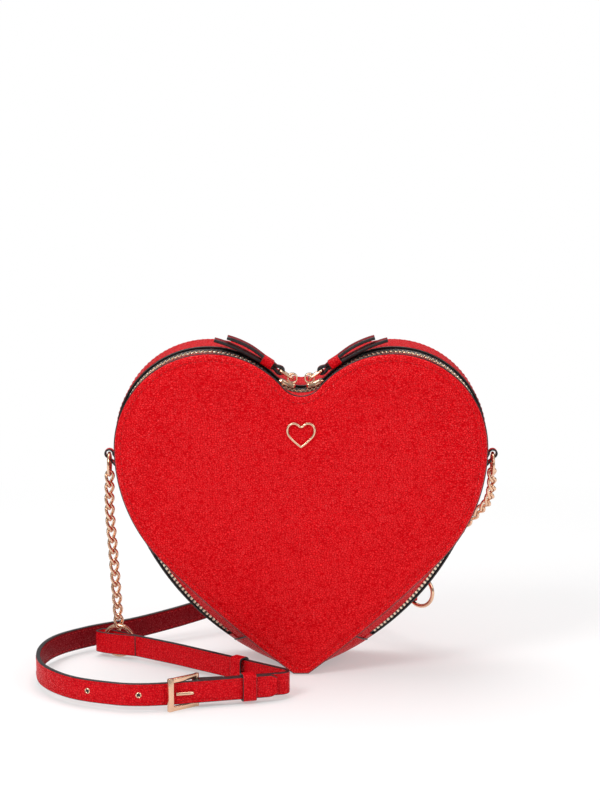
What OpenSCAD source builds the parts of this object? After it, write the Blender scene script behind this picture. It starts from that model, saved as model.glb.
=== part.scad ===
// Heart shaped purse with a two way zip round its side, leather pulls, side tabs with
// rings, curb chains and a buckled strap. Millimetres, +Z up, the front faces -Y, and the
// purse stands on the small flat at its tip.

/* [Bag outline] */
// Width over the two lobes. The shares below are shares of it.
body_w = 216; // [200:1:230]
// Radius of each lobe.
lobe_share = 0.25; // [0.235:0.001:0.262]
// Height of the lobe centres above the tip.
lobe_z_share = 0.632; // [0.604:0.001:0.664]
// Radius of the cleft between the lobes.
cleft_share = 0.0995; // [0.088:0.0005:0.114]
// Radius of the sides below the lobes.
side_share = 0.433; // [0.408:0.001:0.453]
// Slope of the outline where it leaves the tip, in degrees.
tip_angle = 20; // [17:0.5:23]
// Width of the flat that the purse stands on.
foot_share = 0.065; // [0.056:0.001:0.082]

/* [Front panel outline] */
// Radius of each lobe at the front.
front_lobe_share = 0.257; // [0.246:0.001:0.268]
// Height of the lobe centres at the front.
front_lobe_z_share = 0.618; // [0.594:0.001:0.625]
// Radius of the cleft at the front.
front_cleft_share = 0.06; // [0.052:0.0005:0.078]
// Radius of the sides at the front.
front_side_share = 0.442; // [0.426:0.001:0.462]
// Slope of the front's outline where it leaves the tip, in degrees.
front_tip_angle = 37; // [33:0.5:39]
// Width of the flat at the front's tip.
front_foot_share = 0.042; // [0.038:0.001:0.055]

/* [Bag depth] */
// Depth from the front seam to the back seam.
body_d = 56; // [46:0.5:70]
// Depth of the strip between the front seam and the zip.
strip_d = 11; // [9:0.5:14]
// Width of the zip between the two leather edges.
zip_w = 8; // [7.6:0.1:10]
// Inset of the front seam from the front's outline.
front_inset = 0.8; // [0.6:0.1:1.4]
// Rise of the padded front.
front_dome = 5; // [3.5:0.1:7]
// Rise of the padded back.
back_dome = 4; // [3.5:0.1:6]

/* [Leather] */
// Thickness of one layer of leather.
leather_t = 1.6; // [1.2:0.1:2]
// Thickness of the lining.
lining_t = 0.8; // [0.5:0.1:1]
// Thickness of the stiffening boards.
board_t = 1.2; // [0.8:0.1:1.6]

/* [Zip] */
// Distance between the teeth of one row.
tooth_pitch = 3; // [2.6:0.1:3.6]
// Reach of the metal rows, along the depth of the bag.
tooth_l = 2.1; // [1.8:0.1:2.2]
// Length of a slider.
slider_len = 9.5; // [8:0.5:10]
// Length of a leather pull from the slider to its end.
pull_len = 51; // [42:1:56]
// Width of a leather pull.
pull_w = 10; // [8:0.5:10.5]

/* [Side tabs and chains] */
// Drop of the two side rings below the lobe centres.
ring_drop = 17; // [14:0.5:20]
// Outer diameter of a side ring.
ring_od = 15; // [13:0.5:15.5]
// Wire of a side ring.
ring_wire = 2; // [1.8:0.1:2.2]
// Width of a side tab.
tab_w = 9; // [7:0.5:10]
// Width of a chain link.
link_w = 6.4; // [6:0.1:6.8]
// Wire of a chain link.
link_wire = 1.9; // [1.7:0.1:2]
// Links in one chain, an even number.
link_count = 14; // [12:2:16]

/* [Strap] */
// Width of the strap, which stands on edge.
strap_w = 12.7; // [11:0.1:13.4]
// Thickness of the strap, two layers.
strap_t = 2.4; // [2:0.1:2.8]
// Height of the strap's lower edge above the floor.
strap_lift = 3; // [2.8:0.1:4]
// Wire of a strap ring.
strap_ring_wire = 2.4; // [2:0.1:2.6]
// Length of the buckle frame.
buckle_l = 21; // [19:0.5:23]

/* [Hidden] */
$fn = 48;

// Colours.
red_c = [0.78, 0.05, 0.1];
dark_c = [0.12, 0.1, 0.1];
gold_c = [0.9, 0.7, 0.55];
lining_c = [0.2, 0.17, 0.16];
board_c = [0.55, 0.5, 0.42];

// Cuts run past the faces that they open by this much.
overrun = 2;
// Clearances.
run_gap = 0.3;
pin_gap = 0.08;
slip_gap = 0.2;

// Sizes of the outline at the zip that other pieces follow.
lobe_r = lobe_share * body_w;
lobe_z = lobe_z_share * body_w;
cleft_r = cleft_share * body_w;

// Planes along the depth.
front_y = -body_d / 2;
back_y = body_d / 2;
strip_y = front_y + strip_d;
gusset_y = strip_y + zip_w;
zip_shift = 1.2;
zip_y = (strip_y + gusset_y) / 2 - zip_shift;
tape_seat = strip_d * 0.18;
seat_y = strip_y - tape_seat;
ring_z = lobe_z - ring_drop;

// Centres of the arcs at the zip that other pieces follow.
lobe_x = body_w / 2 - lobe_r;
cleft_z = lobe_z + sqrt(pow(lobe_r + cleft_r, 2) - pow(lobe_x, 2));

toe_n = 14;
side_n = 2;
lobe_n = 20;
cleft_n = 7;
// Finer steps on which the points of every outline are placed.
fine_n = 3;

function arc_pts(cx, cz, r, a0, a1, n, first) =
    [for (i = [first:n]) let (a = a0 + (a1 - a0) * i / n) [cx + r * cos(a), cz + r * sin(a)]];

// Right half of an outline at an inset, from the foot up to the cleft. The share f runs
// from 0 at the zip to 1 at the front. Inner outlines end in a tip of the least width.
least_w = 0.6;
function mix(a, b, f) = a + (b - a) * f;
function fine_pts(inset, f) =
    let (
        lr = mix(lobe_share, front_lobe_share, f) * body_w,
        lz = mix(lobe_z_share, front_lobe_z_share, f) * body_w,
        cr = mix(cleft_share, front_cleft_share, f) * body_w,
        sr = mix(side_share, front_side_share, f) * body_w,
        rise = mix(tip_angle, front_tip_angle, f),
        fx = mix(foot_share, front_foot_share, f) * body_w / 2,
        lx = body_w / 2 - lr,
        sx = body_w / 2 - sr,
        cz = lz + sqrt(pow(lr + cr, 2) - pow(lx, 2)),
        dx = sx - fx,
        tr = (dx * dx + lz * lz - sr * sr) / (2 * (lz * cos(rise) - dx * sin(rise) - sr)),
        tx = fx - tr * sin(rise),
        tz = tr * cos(rise),
        side_a = atan2(lz - tz, sx - tx),
        cleft_a = atan2(cz - lz, -lx),
        x0 = max(least_w / 2, tx + sqrt(pow(tr - inset, 2) - pow(tz - inset, 2))),
        a0 = -acos((x0 - tx) / (tr - inset))
    )
    concat(
        arc_pts(tx, tz, tr - inset, a0, side_a, toe_n * fine_n, 0),
        arc_pts(sx, lz, sr - inset, side_a, 0, side_n * fine_n, 1),
        arc_pts(lx, lz, lr - inset, 0, cleft_a, lobe_n * fine_n, 1),
        arc_pts(0, cz, cr + inset, cleft_a + 180, 270, cleft_n * fine_n, 1)
    );

// Points at shares of a path's length.
function at_shares(p, shares) =
    let (r = runs(p), n = len(r))
    [for (f = shares)
        let (
            s = f * r[n - 1],
            i = min(n - 2, len([for (v = r) if (v <= s) v]) - 1),
            g = (s - r[i]) / (r[i + 1] - r[i])
        ) p[i] + (p[i + 1] - p[i]) * g];

// Every outline has its points at the same shares of its length, so that they pair up.
zip_fine = fine_pts(0, 0);
zip_runs = runs(zip_fine);
fine_last = len(zip_runs) - 1;
point_shares = [for (i = [0:fine_n:fine_last]) zip_runs[i] / zip_runs[fine_last]];
function half_pts(inset, f = 0) = at_shares(fine_pts(inset, f), point_shares);

function mirror_rev(p, last) = [for (i = [len(p) - last:-1:0]) [-p[i][0], p[i][1]]];

// Whole outline, counter clockwise seen from the front.
function heart_pts(inset, f = 0) = let (h = half_pts(inset, f)) concat(h, mirror_rev(h, 2));

ring_n = len(heart_pts(0));

// Stands a flat drawing up and gives it depth from y0 to y1.
module stand(y0, y1) {
    translate([0, y1, 0])
        rotate([90, 0, 0])
            linear_extrude(y1 - y0)
                children();
}

module heart_plate(inset, y0, y1, f = 0) {
    stand(y0, y1) polygon(heart_pts(inset, f));
}

module heart_band(outer, inner, y0, y1, f = 0) {
    difference() {
        heart_plate(outer, y0, y1, f);
        heart_plate(inner, y0 - overrun, y1 + overrun, f);
    }
}

// Box given by its two corners.
module corner_box(a, b) {
    translate(a) cube(b - a);
}

// Points of the outline at [inset, y, share].
function ring_at(s) = [for (p = heart_pts(s[0], s[2])) [p[0], s[1], p[1]]];

// Closed solid between rings, capped by flat faces at both ends. The diagonals of its
// sides are those of the skin that it fills.
module ring_loft(rings, reversed) {
    m = len(rings);
    pts = [for (s = rings) each ring_at(s)];
    sides = [for (k = [0:m - 2]) for (i = [0:ring_n - 1])
        let (j = (i + 1) % ring_n, a = k * ring_n, b = a + ring_n)
        each reversed
            ? [[a + i, a + j, b + i], [a + j, b + j, b + i]]
            : [[a + i, a + j, b + j], [a + i, b + j, b + i]]];
    cap0 = [[for (i = [ring_n - 1:-1:0]) i]];
    cap1 = [[for (i = [0:ring_n - 1]) (m - 1) * ring_n + i]];
    polyhedron(pts, concat(sides, cap0, cap1), convexity = 6);
}

// Padded panel: a skin with a hollow underneath. Each row is [inset, rise].
function skin_rows(dome) = [
    [0, 0], [leather_t * 0.4, dome * 0.38], [leather_t * 1.4, dome * 0.68],
    [leather_t * 3.4, dome * 0.92], [leather_t * 7, dome]
];
function pad_rows(dome) = [
    [leather_t * 1.4, 0], [leather_t * 2, dome * 0.68 - leather_t * 0.9],
    [leather_t * 3.7, dome * 0.92 - leather_t], [leather_t * 7.2, dome - leather_t]
];

// The front panel rises towards -Y, the back panel towards +Y.
module pad_solid(y, way, base, dome, f) {
    rows = pad_rows(dome);
    rings = [for (r = rows) [base + r[0], y + way * r[1], f]];
    n = len(rings);
    ring_loft(way < 0 ? [for (i = [n - 1:-1:0]) rings[i]] : rings, way < 0);
}

module panel_skin(y, way, base, dome, f) {
    rows = skin_rows(dome);
    inner = pad_rows(dome);
    n = len(rows);
    m = len(inner);
    // Rings run up the outside to the crown; a second set runs up the inside.
    out_pts = [for (r = rows) each ring_at([base + r[0], y + way * r[1], f])];
    in_pts = [for (r = inner) each ring_at([base + r[0], y + way * r[1], f])];
    o = n * ring_n;
    raw = concat(
        [for (k = [0:n - 2]) for (i = [0:ring_n - 1])
            let (j = (i + 1) % ring_n, a = k * ring_n, b = a + ring_n)
            each [[a + i, b + j, a + j], [a + i, b + i, b + j]]],
        [for (k = [0:m - 2]) for (i = [0:ring_n - 1])
            let (j = (i + 1) % ring_n, a = o + k * ring_n, b = a + ring_n)
            each [[a + i, a + j, b + j], [a + i, b + j, b + i]]],
        [for (i = [0:ring_n - 1]) let (j = (i + 1) % ring_n)
            each [[i, j, o + j], [i, o + j, o + i]]],
        [[for (i = [ring_n - 1:-1:0]) (n - 1) * ring_n + i]],
        [[for (i = [0:ring_n - 1]) o + (m - 1) * ring_n + i]]
    );
    faces = way < 0 ? [for (f = raw) [for (i = [len(f) - 1:-1:0]) f[i]]] : raw;
    polyhedron(concat(out_pts, in_pts), faces, convexity = 8);
}

// Closed section of [inset, y, share] rows carried along the outline between two points.
// Rows run down the outside and back up the inside, so that first and last are a pair. Both
// ends stand back from their points by the share lead of a step.
module edge_sweep(section, first, last, lead) {
    s = len(section);
    count = last - first + 1;
    rows = [for (q = section) ring_at(q)];
    pts = [for (i = [first:last]) for (k = [0:s - 1])
        let (a = rows[k][i % ring_n], j = i == first ? i + 1 : i - 1)
        i == first || i == last ? mix(a, rows[k][j % ring_n], lead) : a];
    sides = [for (i = [0:count - 2]) for (k = [0:s - 1])
        let (k2 = (k + 1) % s, a = i * s, b = a + s)
        each [[a + k, a + k2, b + k2], [a + k, b + k2, b + k]]];
    cap = [for (k = [0:s / 2 - 2]) each [[k, k + 1, s - 2 - k], [k, s - 2 - k, s - 1 - k]]];
    cap0 = [for (t = cap) [t[2], t[1], t[0]]];
    cap1 = [for (t = cap) [for (k = t) (count - 1) * s + k]];
    polyhedron(pts, concat(sides, cap0, cap1), convexity = 8);
}

// The zip ends and the base piece meet at this point of the outline, left and right.
seam_i = 3;
seam_pt = half_pts(0)[seam_i];
seam_x = seam_pt[0];
seam_z = seam_pt[1];
// The strip swings with the front, so that it stands clear of the base piece.
strip_lead = run_gap / norm(half_pts(0)[seam_i + 1] - seam_pt);
// Shares of the way to the front at which the two edges of the zip lie.
front_row_share = 0.25;
rear_row_share = 0.12;
front_edge = [
    [0, strip_y, front_row_share], [0, seat_y, front_row_share], [front_inset, front_y, 1],
    [front_inset + leather_t, front_y, 1], [leather_t, seat_y, front_row_share],
    [leather_t, strip_y, front_row_share]
];
base_section = concat(
    [[0, back_y, 0], [0, gusset_y, 0]],
    front_edge,
    [[leather_t, gusset_y, 0], [leather_t, back_y, 0]]
);

// Box that holds the base piece of the gusset.
module base_box() {
    corner_box([-seam_x, front_y - overrun, -overrun], [seam_x, back_y + overrun, seam_z * 1.6]);
}

module main_gusset() {
    color(red_c)
        difference() {
            heart_band(0, leather_t, gusset_y, back_y);
            base_box();
        }
}

module base_gusset() {
    color(red_c) edge_sweep(base_section, ring_n - 1 - seam_i, ring_n + seam_i, 0);
}

module front_strip() {
    color(red_c) edge_sweep(front_edge, seam_i, ring_n - 1 - seam_i, strip_lead);
}

module back_panel() {
    color(red_c) panel_skin(back_y, 1, 0, back_dome, 0);
}

module back_pad() {
    color(board_c) pad_solid(back_y, 1, 0, back_dome, 0);
}

module back_board() {
    color(board_c) heart_plate(leather_t, back_y - board_t, back_y);
}

lining_y = back_y - board_t - lining_t;

module back_lining() {
    color(lining_c) heart_plate(leather_t, lining_y, back_y - board_t);
}

// Rows of the zip.
row_gap = slip_gap;
tape_outer = leather_t;
tape_inner = leather_t + lining_t * 0.75;
tooth_top = leather_t * 0.55;
tooth_bottom = tooth_top + tooth_l;
rear_row_y0 = zip_y + row_gap / 2;
rear_row_y1 = rear_row_y0 + tooth_l;
front_row_y1 = zip_y - row_gap / 2;
front_row_y0 = front_row_y1 - tooth_l;
bead_share = 0.45;
rear_tape_y1 = gusset_y + zip_w;

module gusset_lining() {
    color(lining_c) heart_band(leather_t, leather_t + lining_t, rear_tape_y1, lining_y);
}

pocket_w = body_w * 0.42;
pocket_h = body_w * 0.28;
pocket_z = lobe_z * 0.4;
pocket_t = lining_t;

// Flat pocket sewn to the back lining.
module slip_pocket() {
    color(lining_c)
        corner_box([-pocket_w / 2, lining_y - pocket_t, pocket_z],
            [pocket_w / 2, lining_y, pocket_z + pocket_h]);
}

// The zip stops above its leather ends.
end_rise = leather_t * 3;
zip_low_z = seam_z + end_rise + run_gap;
module under_seam(y0, y1) {
    corner_box([-body_w / 2, y0, -overrun], [body_w / 2, y1, zip_low_z]);
}

module zip_tape_rear() {
    color(dark_c)
        difference() {
            heart_band(tape_outer + pin_gap, tape_inner + pin_gap, rear_row_y1, rear_tape_y1,
                rear_row_share);
            under_seam(rear_row_y1 - overrun, rear_tape_y1 + overrun);
        }
}

module zip_tape_front() {
    color(dark_c)
        difference() {
            heart_band(tape_outer, tape_inner, seat_y, front_row_y0, front_row_share);
            under_seam(seat_y - overrun, front_row_y0 + overrun);
        }
}

// Path of a row of teeth on the right half: [points, runs].
tooth_inset = (tooth_top + tooth_bottom) / 2;
function row_path(f) = let (p = half_pts(tooth_inset, f)) [p, runs(p)];
// Place on a path: [x, z, angle].
function path_at(path, s) =
    let (
        i = find_seg(path[1], s, 0),
        a = path[0][i],
        b = path[0][i + 1],
        f = (s - path[1][i]) / (path[1][i + 1] - path[1][i]),
        p = a + (b - a) * f
    ) [p[0], p[1], atan2(b[1] - a[1], b[0] - a[0])];
// Run at which a row starts, clear of the zip's lower end.
function row_start(path) =
    let (a = path[0][seam_i], b = path[0][seam_i + 1], rise = zip_low_z + tooth_l / 2 - a[1])
    path[1][seam_i] + rise / sin(atan2(b[1] - a[1], b[0] - a[0]));

tooth_share = 0.42;
tooth_thick_share = 0.92;

module tooth(q, y0, y1) {
    w = tooth_pitch * tooth_share;
    h = (tooth_bottom - tooth_top) * tooth_thick_share;
    translate([q[0], y0, q[1]])
        rotate([0, -q[2], 0])
            translate([-w / 2, 0, -h / 2])
                cube([w, y1 - y0, h]);
}

module teeth_row(bead_y0, bead_y1, y0, y1, shift, f) {
    path = row_path(f);
    start = row_start(path);
    count = floor((path[1][len(path[1]) - 1] - start) / tooth_pitch);
    color(gold_c) {
        difference() {
            heart_band(tooth_inset - lining_t * 0.9, tooth_inset + lining_t * 0.9, bead_y0, bead_y1, f);
            under_seam(bead_y0 - overrun, bead_y1 + overrun);
        }
        for (side = [0, 1])
            mirror([side, 0, 0])
                for (i = [0:count - 1])
                    tooth(path_at(path, start + (i + shift) * tooth_pitch), y0, y1);
    }
}

module zip_teeth_rear() {
    bead = tooth_l * bead_share;
    teeth_row(rear_row_y1 - bead, rear_row_y1, rear_row_y0, rear_row_y1, 0.25, rear_row_share);
}

module zip_teeth_front() {
    bead = tooth_l * bead_share;
    teeth_row(front_row_y0, front_row_y0 + bead, front_row_y0, front_row_y1, 0.75, front_row_share);
}

// Leather end that closes the zip at the base piece, on the right side.
module zip_end() {
    color(red_c)
        intersection() {
            heart_band(0, leather_t, strip_y + run_gap, gusset_y, rear_row_share);
            corner_box([seam_x, strip_y, 0], [body_w / 2, gusset_y, seam_z + end_rise]);
        }
}

module right_zip_end() {
    zip_end();
}

module left_zip_end() {
    mirror([1, 0, 0]) zip_end();
}

// Front shell.
module front_panel() {
    color(red_c) panel_skin(front_y, -1, front_inset, front_dome, 1);
}

module front_pad() {
    color(board_c) pad_solid(front_y, -1, front_inset, front_dome, 1);
}

front_board_inset = front_inset + leather_t;

module front_board() {
    color(board_c) heart_plate(front_board_inset, front_y, front_y + board_t, 1);
}

module front_lining() {
    color(lining_c) heart_plate(front_board_inset,
        front_y + board_t, front_y + board_t + lining_t, 1);
}

// Plain open heart on the front.
emblem_w = 17;
emblem_t = 1.6;
emblem_z = lobe_z - emblem_w * 0.1;
emblem_rim = emblem_w * 0.08;
emblem_share = emblem_w / body_w;
// The small heart takes every third point of the outline.
function emblem_pts(rim) =
    let (h = heart_pts(rim / emblem_share, 1)) [for (i = [0:3:len(h) - 2]) h[i] * emblem_share];
module emblem() {
    face_y = front_y - front_dome;
    color(gold_c)
        translate([0, 0, emblem_z])
            difference() {
                stand(face_y - emblem_t, face_y) polygon(emblem_pts(0));
                stand(face_y - emblem_t - overrun, face_y + overrun)
                    polygon(emblem_pts(emblem_rim));
            }
}

// Slider on the right lobe. Its underside follows the teeth.
slider_in_x = 3;
slider_w = zip_w - run_gap * 3;
slider_y0 = strip_y + run_gap;
slider_y1 = slider_y0 + slider_w - run_gap;
slider_t = leather_t;
slider_low = tooth_top - run_gap;
flange_t = run_gap * 4;
bail_r = 3.2;
bail_wire = 1.6;
pull_x = 5;
pull_z = cleft_z - sqrt(pow(cleft_r + slider_low - slider_t, 2) - pow(pull_x, 2)) + bail_r - run_gap;
// The pulls rise over the lobes at this distance from them.
pull_lift = 2.8;
pull_to_lobe = [lobe_x - pull_x, lobe_z - pull_z];
pull_rise = asin((lobe_r + pull_lift) / norm(pull_to_lobe)) + atan2(pull_to_lobe[1], pull_to_lobe[0]);
pull_mid_y = (slider_y0 + slider_y1) / 2;

module slider_strip(inset0, inset1, y0, y1) {
    intersection() {
        heart_band(inset0, inset1, y0, y1);
        corner_box([slider_in_x, y0 - overrun, lobe_z], [slider_in_x + slider_len, y1 + overrun, cleft_z]);
    }
}

// Bridge over the slider, a flat hoop with its hole along the depth.
bridge_w = bail_wire * 2;
module slider() {
    color(gold_c) {
        slider_strip(slider_low - slider_t, slider_low, slider_y0, slider_y1);
        slider_strip(slider_low, tape_outer - slip_gap, slider_y1 - flange_t, slider_y1);
        translate([pull_x, pull_mid_y, pull_z])
            rotate([90, 0, 0])
                translate([0, 0, -bridge_w / 2])
                    difference() {
                        cylinder(h = bridge_w, r = bail_r);
                        translate([0, 0, -overrun])
                            cylinder(h = bridge_w + overrun * 2, r = bail_r - bail_wire * 0.75);
                    }
    }
}

module right_slider() {
    slider();
}

module left_slider() {
    mirror([1, 0, 0]) slider();
}

// Pull ring: a pin through the bridge with two arms and a far bar.
pin_r = bail_r - bail_wire * 0.75 - pin_gap;
arm_y = bridge_w / 2 + run_gap;
arm_t = 1.3;
pull_ring_l = 8.5;
bar_r = 1;
module pull_ring() {
    color(gold_c)
        translate([pull_x, pull_mid_y, pull_z])
            rotate([0, -pull_rise, 0]) {
                translate([0, arm_y + arm_t, 0])
                    rotate([90, 0, 0])
                        cylinder(h = 2 * (arm_y + arm_t), r = pin_r);
                translate([pull_ring_l, arm_y + arm_t, 0])
                    rotate([90, 0, 0])
                        cylinder(h = 2 * (arm_y + arm_t), r = bar_r);
                for (side = [-1, 1])
                    translate([-pin_r, side * (arm_y + arm_t / 2) - arm_t / 2, -bar_r])
                        cube([pull_ring_l + pin_r + bar_r, arm_t, bar_r * 2]);
            }
}

module right_pull_ring() {
    pull_ring();
}

module left_pull_ring() {
    mirror([1, 0, 0]) pull_ring();
}

// Leather of the pull, in the pull ring's own axes: X runs along the pull.
pull_layer = 1.2;
eye_r = bar_r + run_gap;
pull_start = pull_ring_l;
throat_w = 2 * arm_y - run_gap * 2;
neck_l = 5;
fan = 3.5;
// The two layers lap by this much where they part.
pull_lap = 0.2;
module pull_layer_solid(side) {
    rotate([0, -side * fan, 0])
        translate([0, -pull_w / 2, side > 0 ? -pull_lap : pull_lap - pull_layer])
            cube([pull_len - pull_start - neck_l, pull_w, pull_layer]);
}

module pull_leather() {
    color(red_c)
        translate([pull_x, pull_mid_y, pull_z])
            rotate([0, -pull_rise, 0])
                translate([pull_start, 0, 0]) {
                    difference() {
                        union() {
                            translate([0, throat_w / 2, 0])
                                rotate([90, 0, 0])
                                    cylinder(h = throat_w, r = eye_r + pull_layer);
                            translate([0, -throat_w / 2, -pull_layer])
                                cube([neck_l + pull_layer, throat_w, pull_layer * 2]);
                        }
                        translate([0, throat_w / 2 + overrun, 0])
                            rotate([90, 0, 0])
                                cylinder(h = throat_w + overrun * 2, r = bar_r + pin_gap);
                    }
                    translate([neck_l, 0, 0]) {
                        pull_layer_solid(1);
                        pull_layer_solid(-1);
                    }
                }
}

module right_pull() {
    pull_leather();
}

module left_pull() {
    mirror([1, 0, 0]) pull_leather();
}

// Band round the pull close to the ring.
band_w = 7;
band_t = 0.7;
module pull_band() {
    h = pull_layer * 2 + (neck_l + band_w) * sin(fan) * 1.1 + run_gap / 2;
    color(red_c)
        translate([pull_x, pull_mid_y, pull_z])
            rotate([0, -pull_rise, 0])
                translate([pull_start + neck_l + run_gap * 2, 0, 0])
                    difference() {
                        translate([0, -pull_w / 2 - band_t, -h / 2 - band_t])
                            cube([band_w, pull_w + band_t * 2, h + band_t * 2]);
                        translate([-overrun, -pull_w / 2, -h / 2])
                            cube([band_w + overrun * 2, pull_w, h]);
                    }
}

module right_pull_band() {
    pull_band();
}

module left_pull_band() {
    mirror([1, 0, 0]) pull_band();
}

// Side tab: a strip sewn to the gusset with a loop at its top, on the right side.
tab_t = 2.2;
tab_l = 26;
tab_top = 2;
loop_r = 3;
loop_play = 0.7;
loop_w = 4.6;
loop_hole_r = ring_wire / 2 + loop_play;
loop_z = ring_z + (ring_od - ring_wire) / 2;
loop_x = body_w / 2 + tab_t + loop_hole_r + run_gap * 2;
tab_low_z = loop_z - tab_l;
tab_high_z = loop_z + tab_top;
module tab() {
    color(red_c)
        difference() {
            union() {
                intersection() {
                    heart_band(-tab_t, 0, -tab_w / 2, tab_w / 2);
                    corner_box([body_w / 4, -tab_w, tab_low_z], [body_w, tab_w, tab_high_z]);
                }
                stand(-loop_w / 2, loop_w / 2) translate([loop_x, loop_z]) circle(loop_r);
                stand(-loop_w / 2, loop_w / 2)
                    translate([body_w / 2 + tab_t / 2, loop_z - loop_r])
                        square([loop_x - body_w / 2 - tab_t / 2, loop_r * 0.7]);
            }
            stand(-tab_w / 2 - overrun, tab_w / 2 + overrun)
                translate([loop_x, loop_z])
                    circle(loop_hole_r);
        }
}

module right_tab() {
    tab();
}

module left_tab() {
    mirror([1, 0, 0]) tab();
}

// Rings.
module torus(r, wire) {
    rotate_extrude() translate([r, 0]) circle(wire / 2);
}

ring_r = (ring_od - ring_wire) / 2;
module right_side_ring() {
    color(gold_c) translate([loop_x, 0, ring_z]) rotate([0, 90, 0]) torus(ring_r, ring_wire);
}

module left_side_ring() {
    color(gold_c) translate([-loop_x, 0, ring_z]) rotate([0, 90, 0]) torus(ring_r, ring_wire);
}

// The strap ring holds the strap and the last link of a chain above each other.
link_play = 0.3;
strap_z = strap_lift;
strap_ring_od = strap_z + strap_w + link_play + link_wire + strap_ring_wire;
strap_ring_r = (strap_ring_od - strap_ring_wire) / 2;
// Headings of the strap's ends, and the angle between the left ring and its end.
ring_turn = 25;
left_strap_a = 141;
right_strap_a = -37;

// Chains. Each route starts on the side ring's wire and ends on the strap ring's wire.
function lerp3(a, b, f) = a + (b - a) * f;
function cat(p, i, f) =
    let (
        a = p[max(i - 1, 0)],
        b = p[i],
        c = p[i + 1],
        d = p[min(i + 2, len(p) - 1)]
    )
    0.5 * (2 * b + (c - a) * f + (2 * a - 5 * b + 4 * c - d) * f * f
        + (3 * b - a - 3 * c + d) * f * f * f);
cat_n = 8;
function smooth(p) = concat(
    [for (i = [0:len(p) - 2]) for (k = [0:cat_n - 1]) cat(p, i, k / cat_n)],
    [p[len(p) - 1]]
);
function runs(p) = [for (s = 0, i = 0; i < len(p);
    s = s + (i < len(p) - 1 ? norm(p[i + 1] - p[i]) : 0), i = i + 1) s];
function find_seg(r, s, i) = i >= len(r) - 2 || r[i + 1] >= s ? i : find_seg(r, s, i + 1);
function along(p, r, s) =
    let (i = find_seg(r, s, 0), f = (s - r[i]) / (r[i + 1] - r[i])) lerp3(p[i], p[i + 1], f);

// Places along the strap and the chains are shares of the body's width.
function of_width(shares) = shares * body_w;
left_ring_xy = of_width([-0.5047, 0.0558]);
left_ring_c = [left_ring_xy[0], left_ring_xy[1], strap_ring_od / 2];
left_exit_a = 4;
left_bow = 1.2;
left_top = [-loop_x, ring_r * sin(left_exit_a), ring_z - ring_r * cos(left_exit_a)];
left_low = [left_ring_c[0], left_ring_c[1], left_ring_c[2] + strap_ring_r];
left_route = smooth([
    left_top,
    lerp3(left_top, left_low, 0.22) - [left_bow, 0, 0],
    lerp3(left_top, left_low, 0.5) - [left_bow * 0.6, 0, 0],
    lerp3(left_top, left_low, 0.78) - [left_bow * 0.2, 0, 0],
    left_low
]);

right_ring_c = of_width([0.3363, 0.1814, 0.1558]);
right_exit_a = 38;
right_top = [loop_x, ring_r * sin(right_exit_a), ring_z - ring_r * cos(right_exit_a)];
// The right chain pulls on its ring from the side, at this lean.
right_lean = 26;
right_low = right_ring_c + strap_ring_r * [
    sin(right_lean) * cos(right_strap_a), sin(right_lean) * sin(right_strap_a), cos(right_lean)
];
// The right chain's sag: shares of the way down, across and back.
right_sag_shares = [
    [-0.01, 0.2, 0.151], [0.035, 0.457, 0.289], [0.176, 0.7, 0.399], [0.365, 0.871, 0.517],
    [0.59, 0.945, 0.655], [0.83, 0.9, 0.806]
];
function right_sag(f) = let (d = right_low - right_top)
    right_top + [d[0] * f[0], d[1] * f[1], d[2] * f[2]];
right_route = smooth(concat([right_top], [for (f = right_sag_shares) right_sag(f)], [right_low]));

// The straight bars are a little stouter than the bends and lap over them.
bar_more = 0.1;
bar_lap = 0.25;

module link(length) {
    r = (link_w - link_wire) / 2;
    s = length / 2 - link_w / 2;
    for (side = [-1, 1]) {
        translate([side * s, 0, 0])
            rotate([0, 0, -side * 90])
                rotate_extrude(angle = 180) translate([r, 0]) circle(link_wire / 2, $fn = 24);
        translate([-s - bar_lap, side * r, 0])
            rotate([0, 90, 0])
                cylinder(h = 2 * (s + bar_lap), d = link_wire + bar_more, $fn = 24);
    }
}

function unit(v) = v / norm(v);

// Links along a route. Every second link is turned a quarter, plus a slow twist.
module chain(route, ring_a, ring_b, twist) {
    up = [0, 1, 0];
    r = runs(route);
    total = r[len(r) - 1];
    pitch = (total + (ring_a + ring_b) / 2) / link_count;
    length = pitch + 2 * link_wire + link_play;
    first = (length - link_wire) / 2 - (ring_a + link_wire) / 2 - link_play / 2;
    for (i = [0:link_count - 1]) {
        s = first + i * pitch;
        p = along(route, r, s);
        t = unit(along(route, r, min(s + pitch / 2, total)) - along(route, r, max(s - pitch / 2, 0)));
        side = unit(cross(t, up));
        nrm = cross(side, t);
        a = (i % 2) * 90 + twist * i / (link_count - 1);
        multmatrix([
            [t[0], side[0] * cos(a) + nrm[0] * sin(a), nrm[0] * cos(a) - side[0] * sin(a), p[0]],
            [t[1], side[1] * cos(a) + nrm[1] * sin(a), nrm[1] * cos(a) - side[1] * sin(a), p[1]],
            [t[2], side[2] * cos(a) + nrm[2] * sin(a), nrm[2] * cos(a) - side[2] * sin(a), p[2]],
            [0, 0, 0, 1]
        ])
            link(length);
    }
}

module left_chain() {
    color(gold_c) chain(left_route, ring_wire, strap_ring_wire, left_strap_a + ring_turn - 180);
}

module right_chain() {
    color(gold_c) chain(right_route, ring_wire, strap_ring_wire, right_strap_a);
}

// Strap rings. Each stands on edge.
module strap_ring(c, a) {
    translate(c) rotate([0, 0, a]) rotate([90, 0, 0]) torus(strap_ring_r, strap_ring_wire);
}

module left_strap_ring() {
    color(gold_c) strap_ring(left_ring_c, left_strap_a + ring_turn);
}

module right_strap_ring() {
    color(gold_c) strap_ring(right_ring_c, right_strap_a);
}

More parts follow.
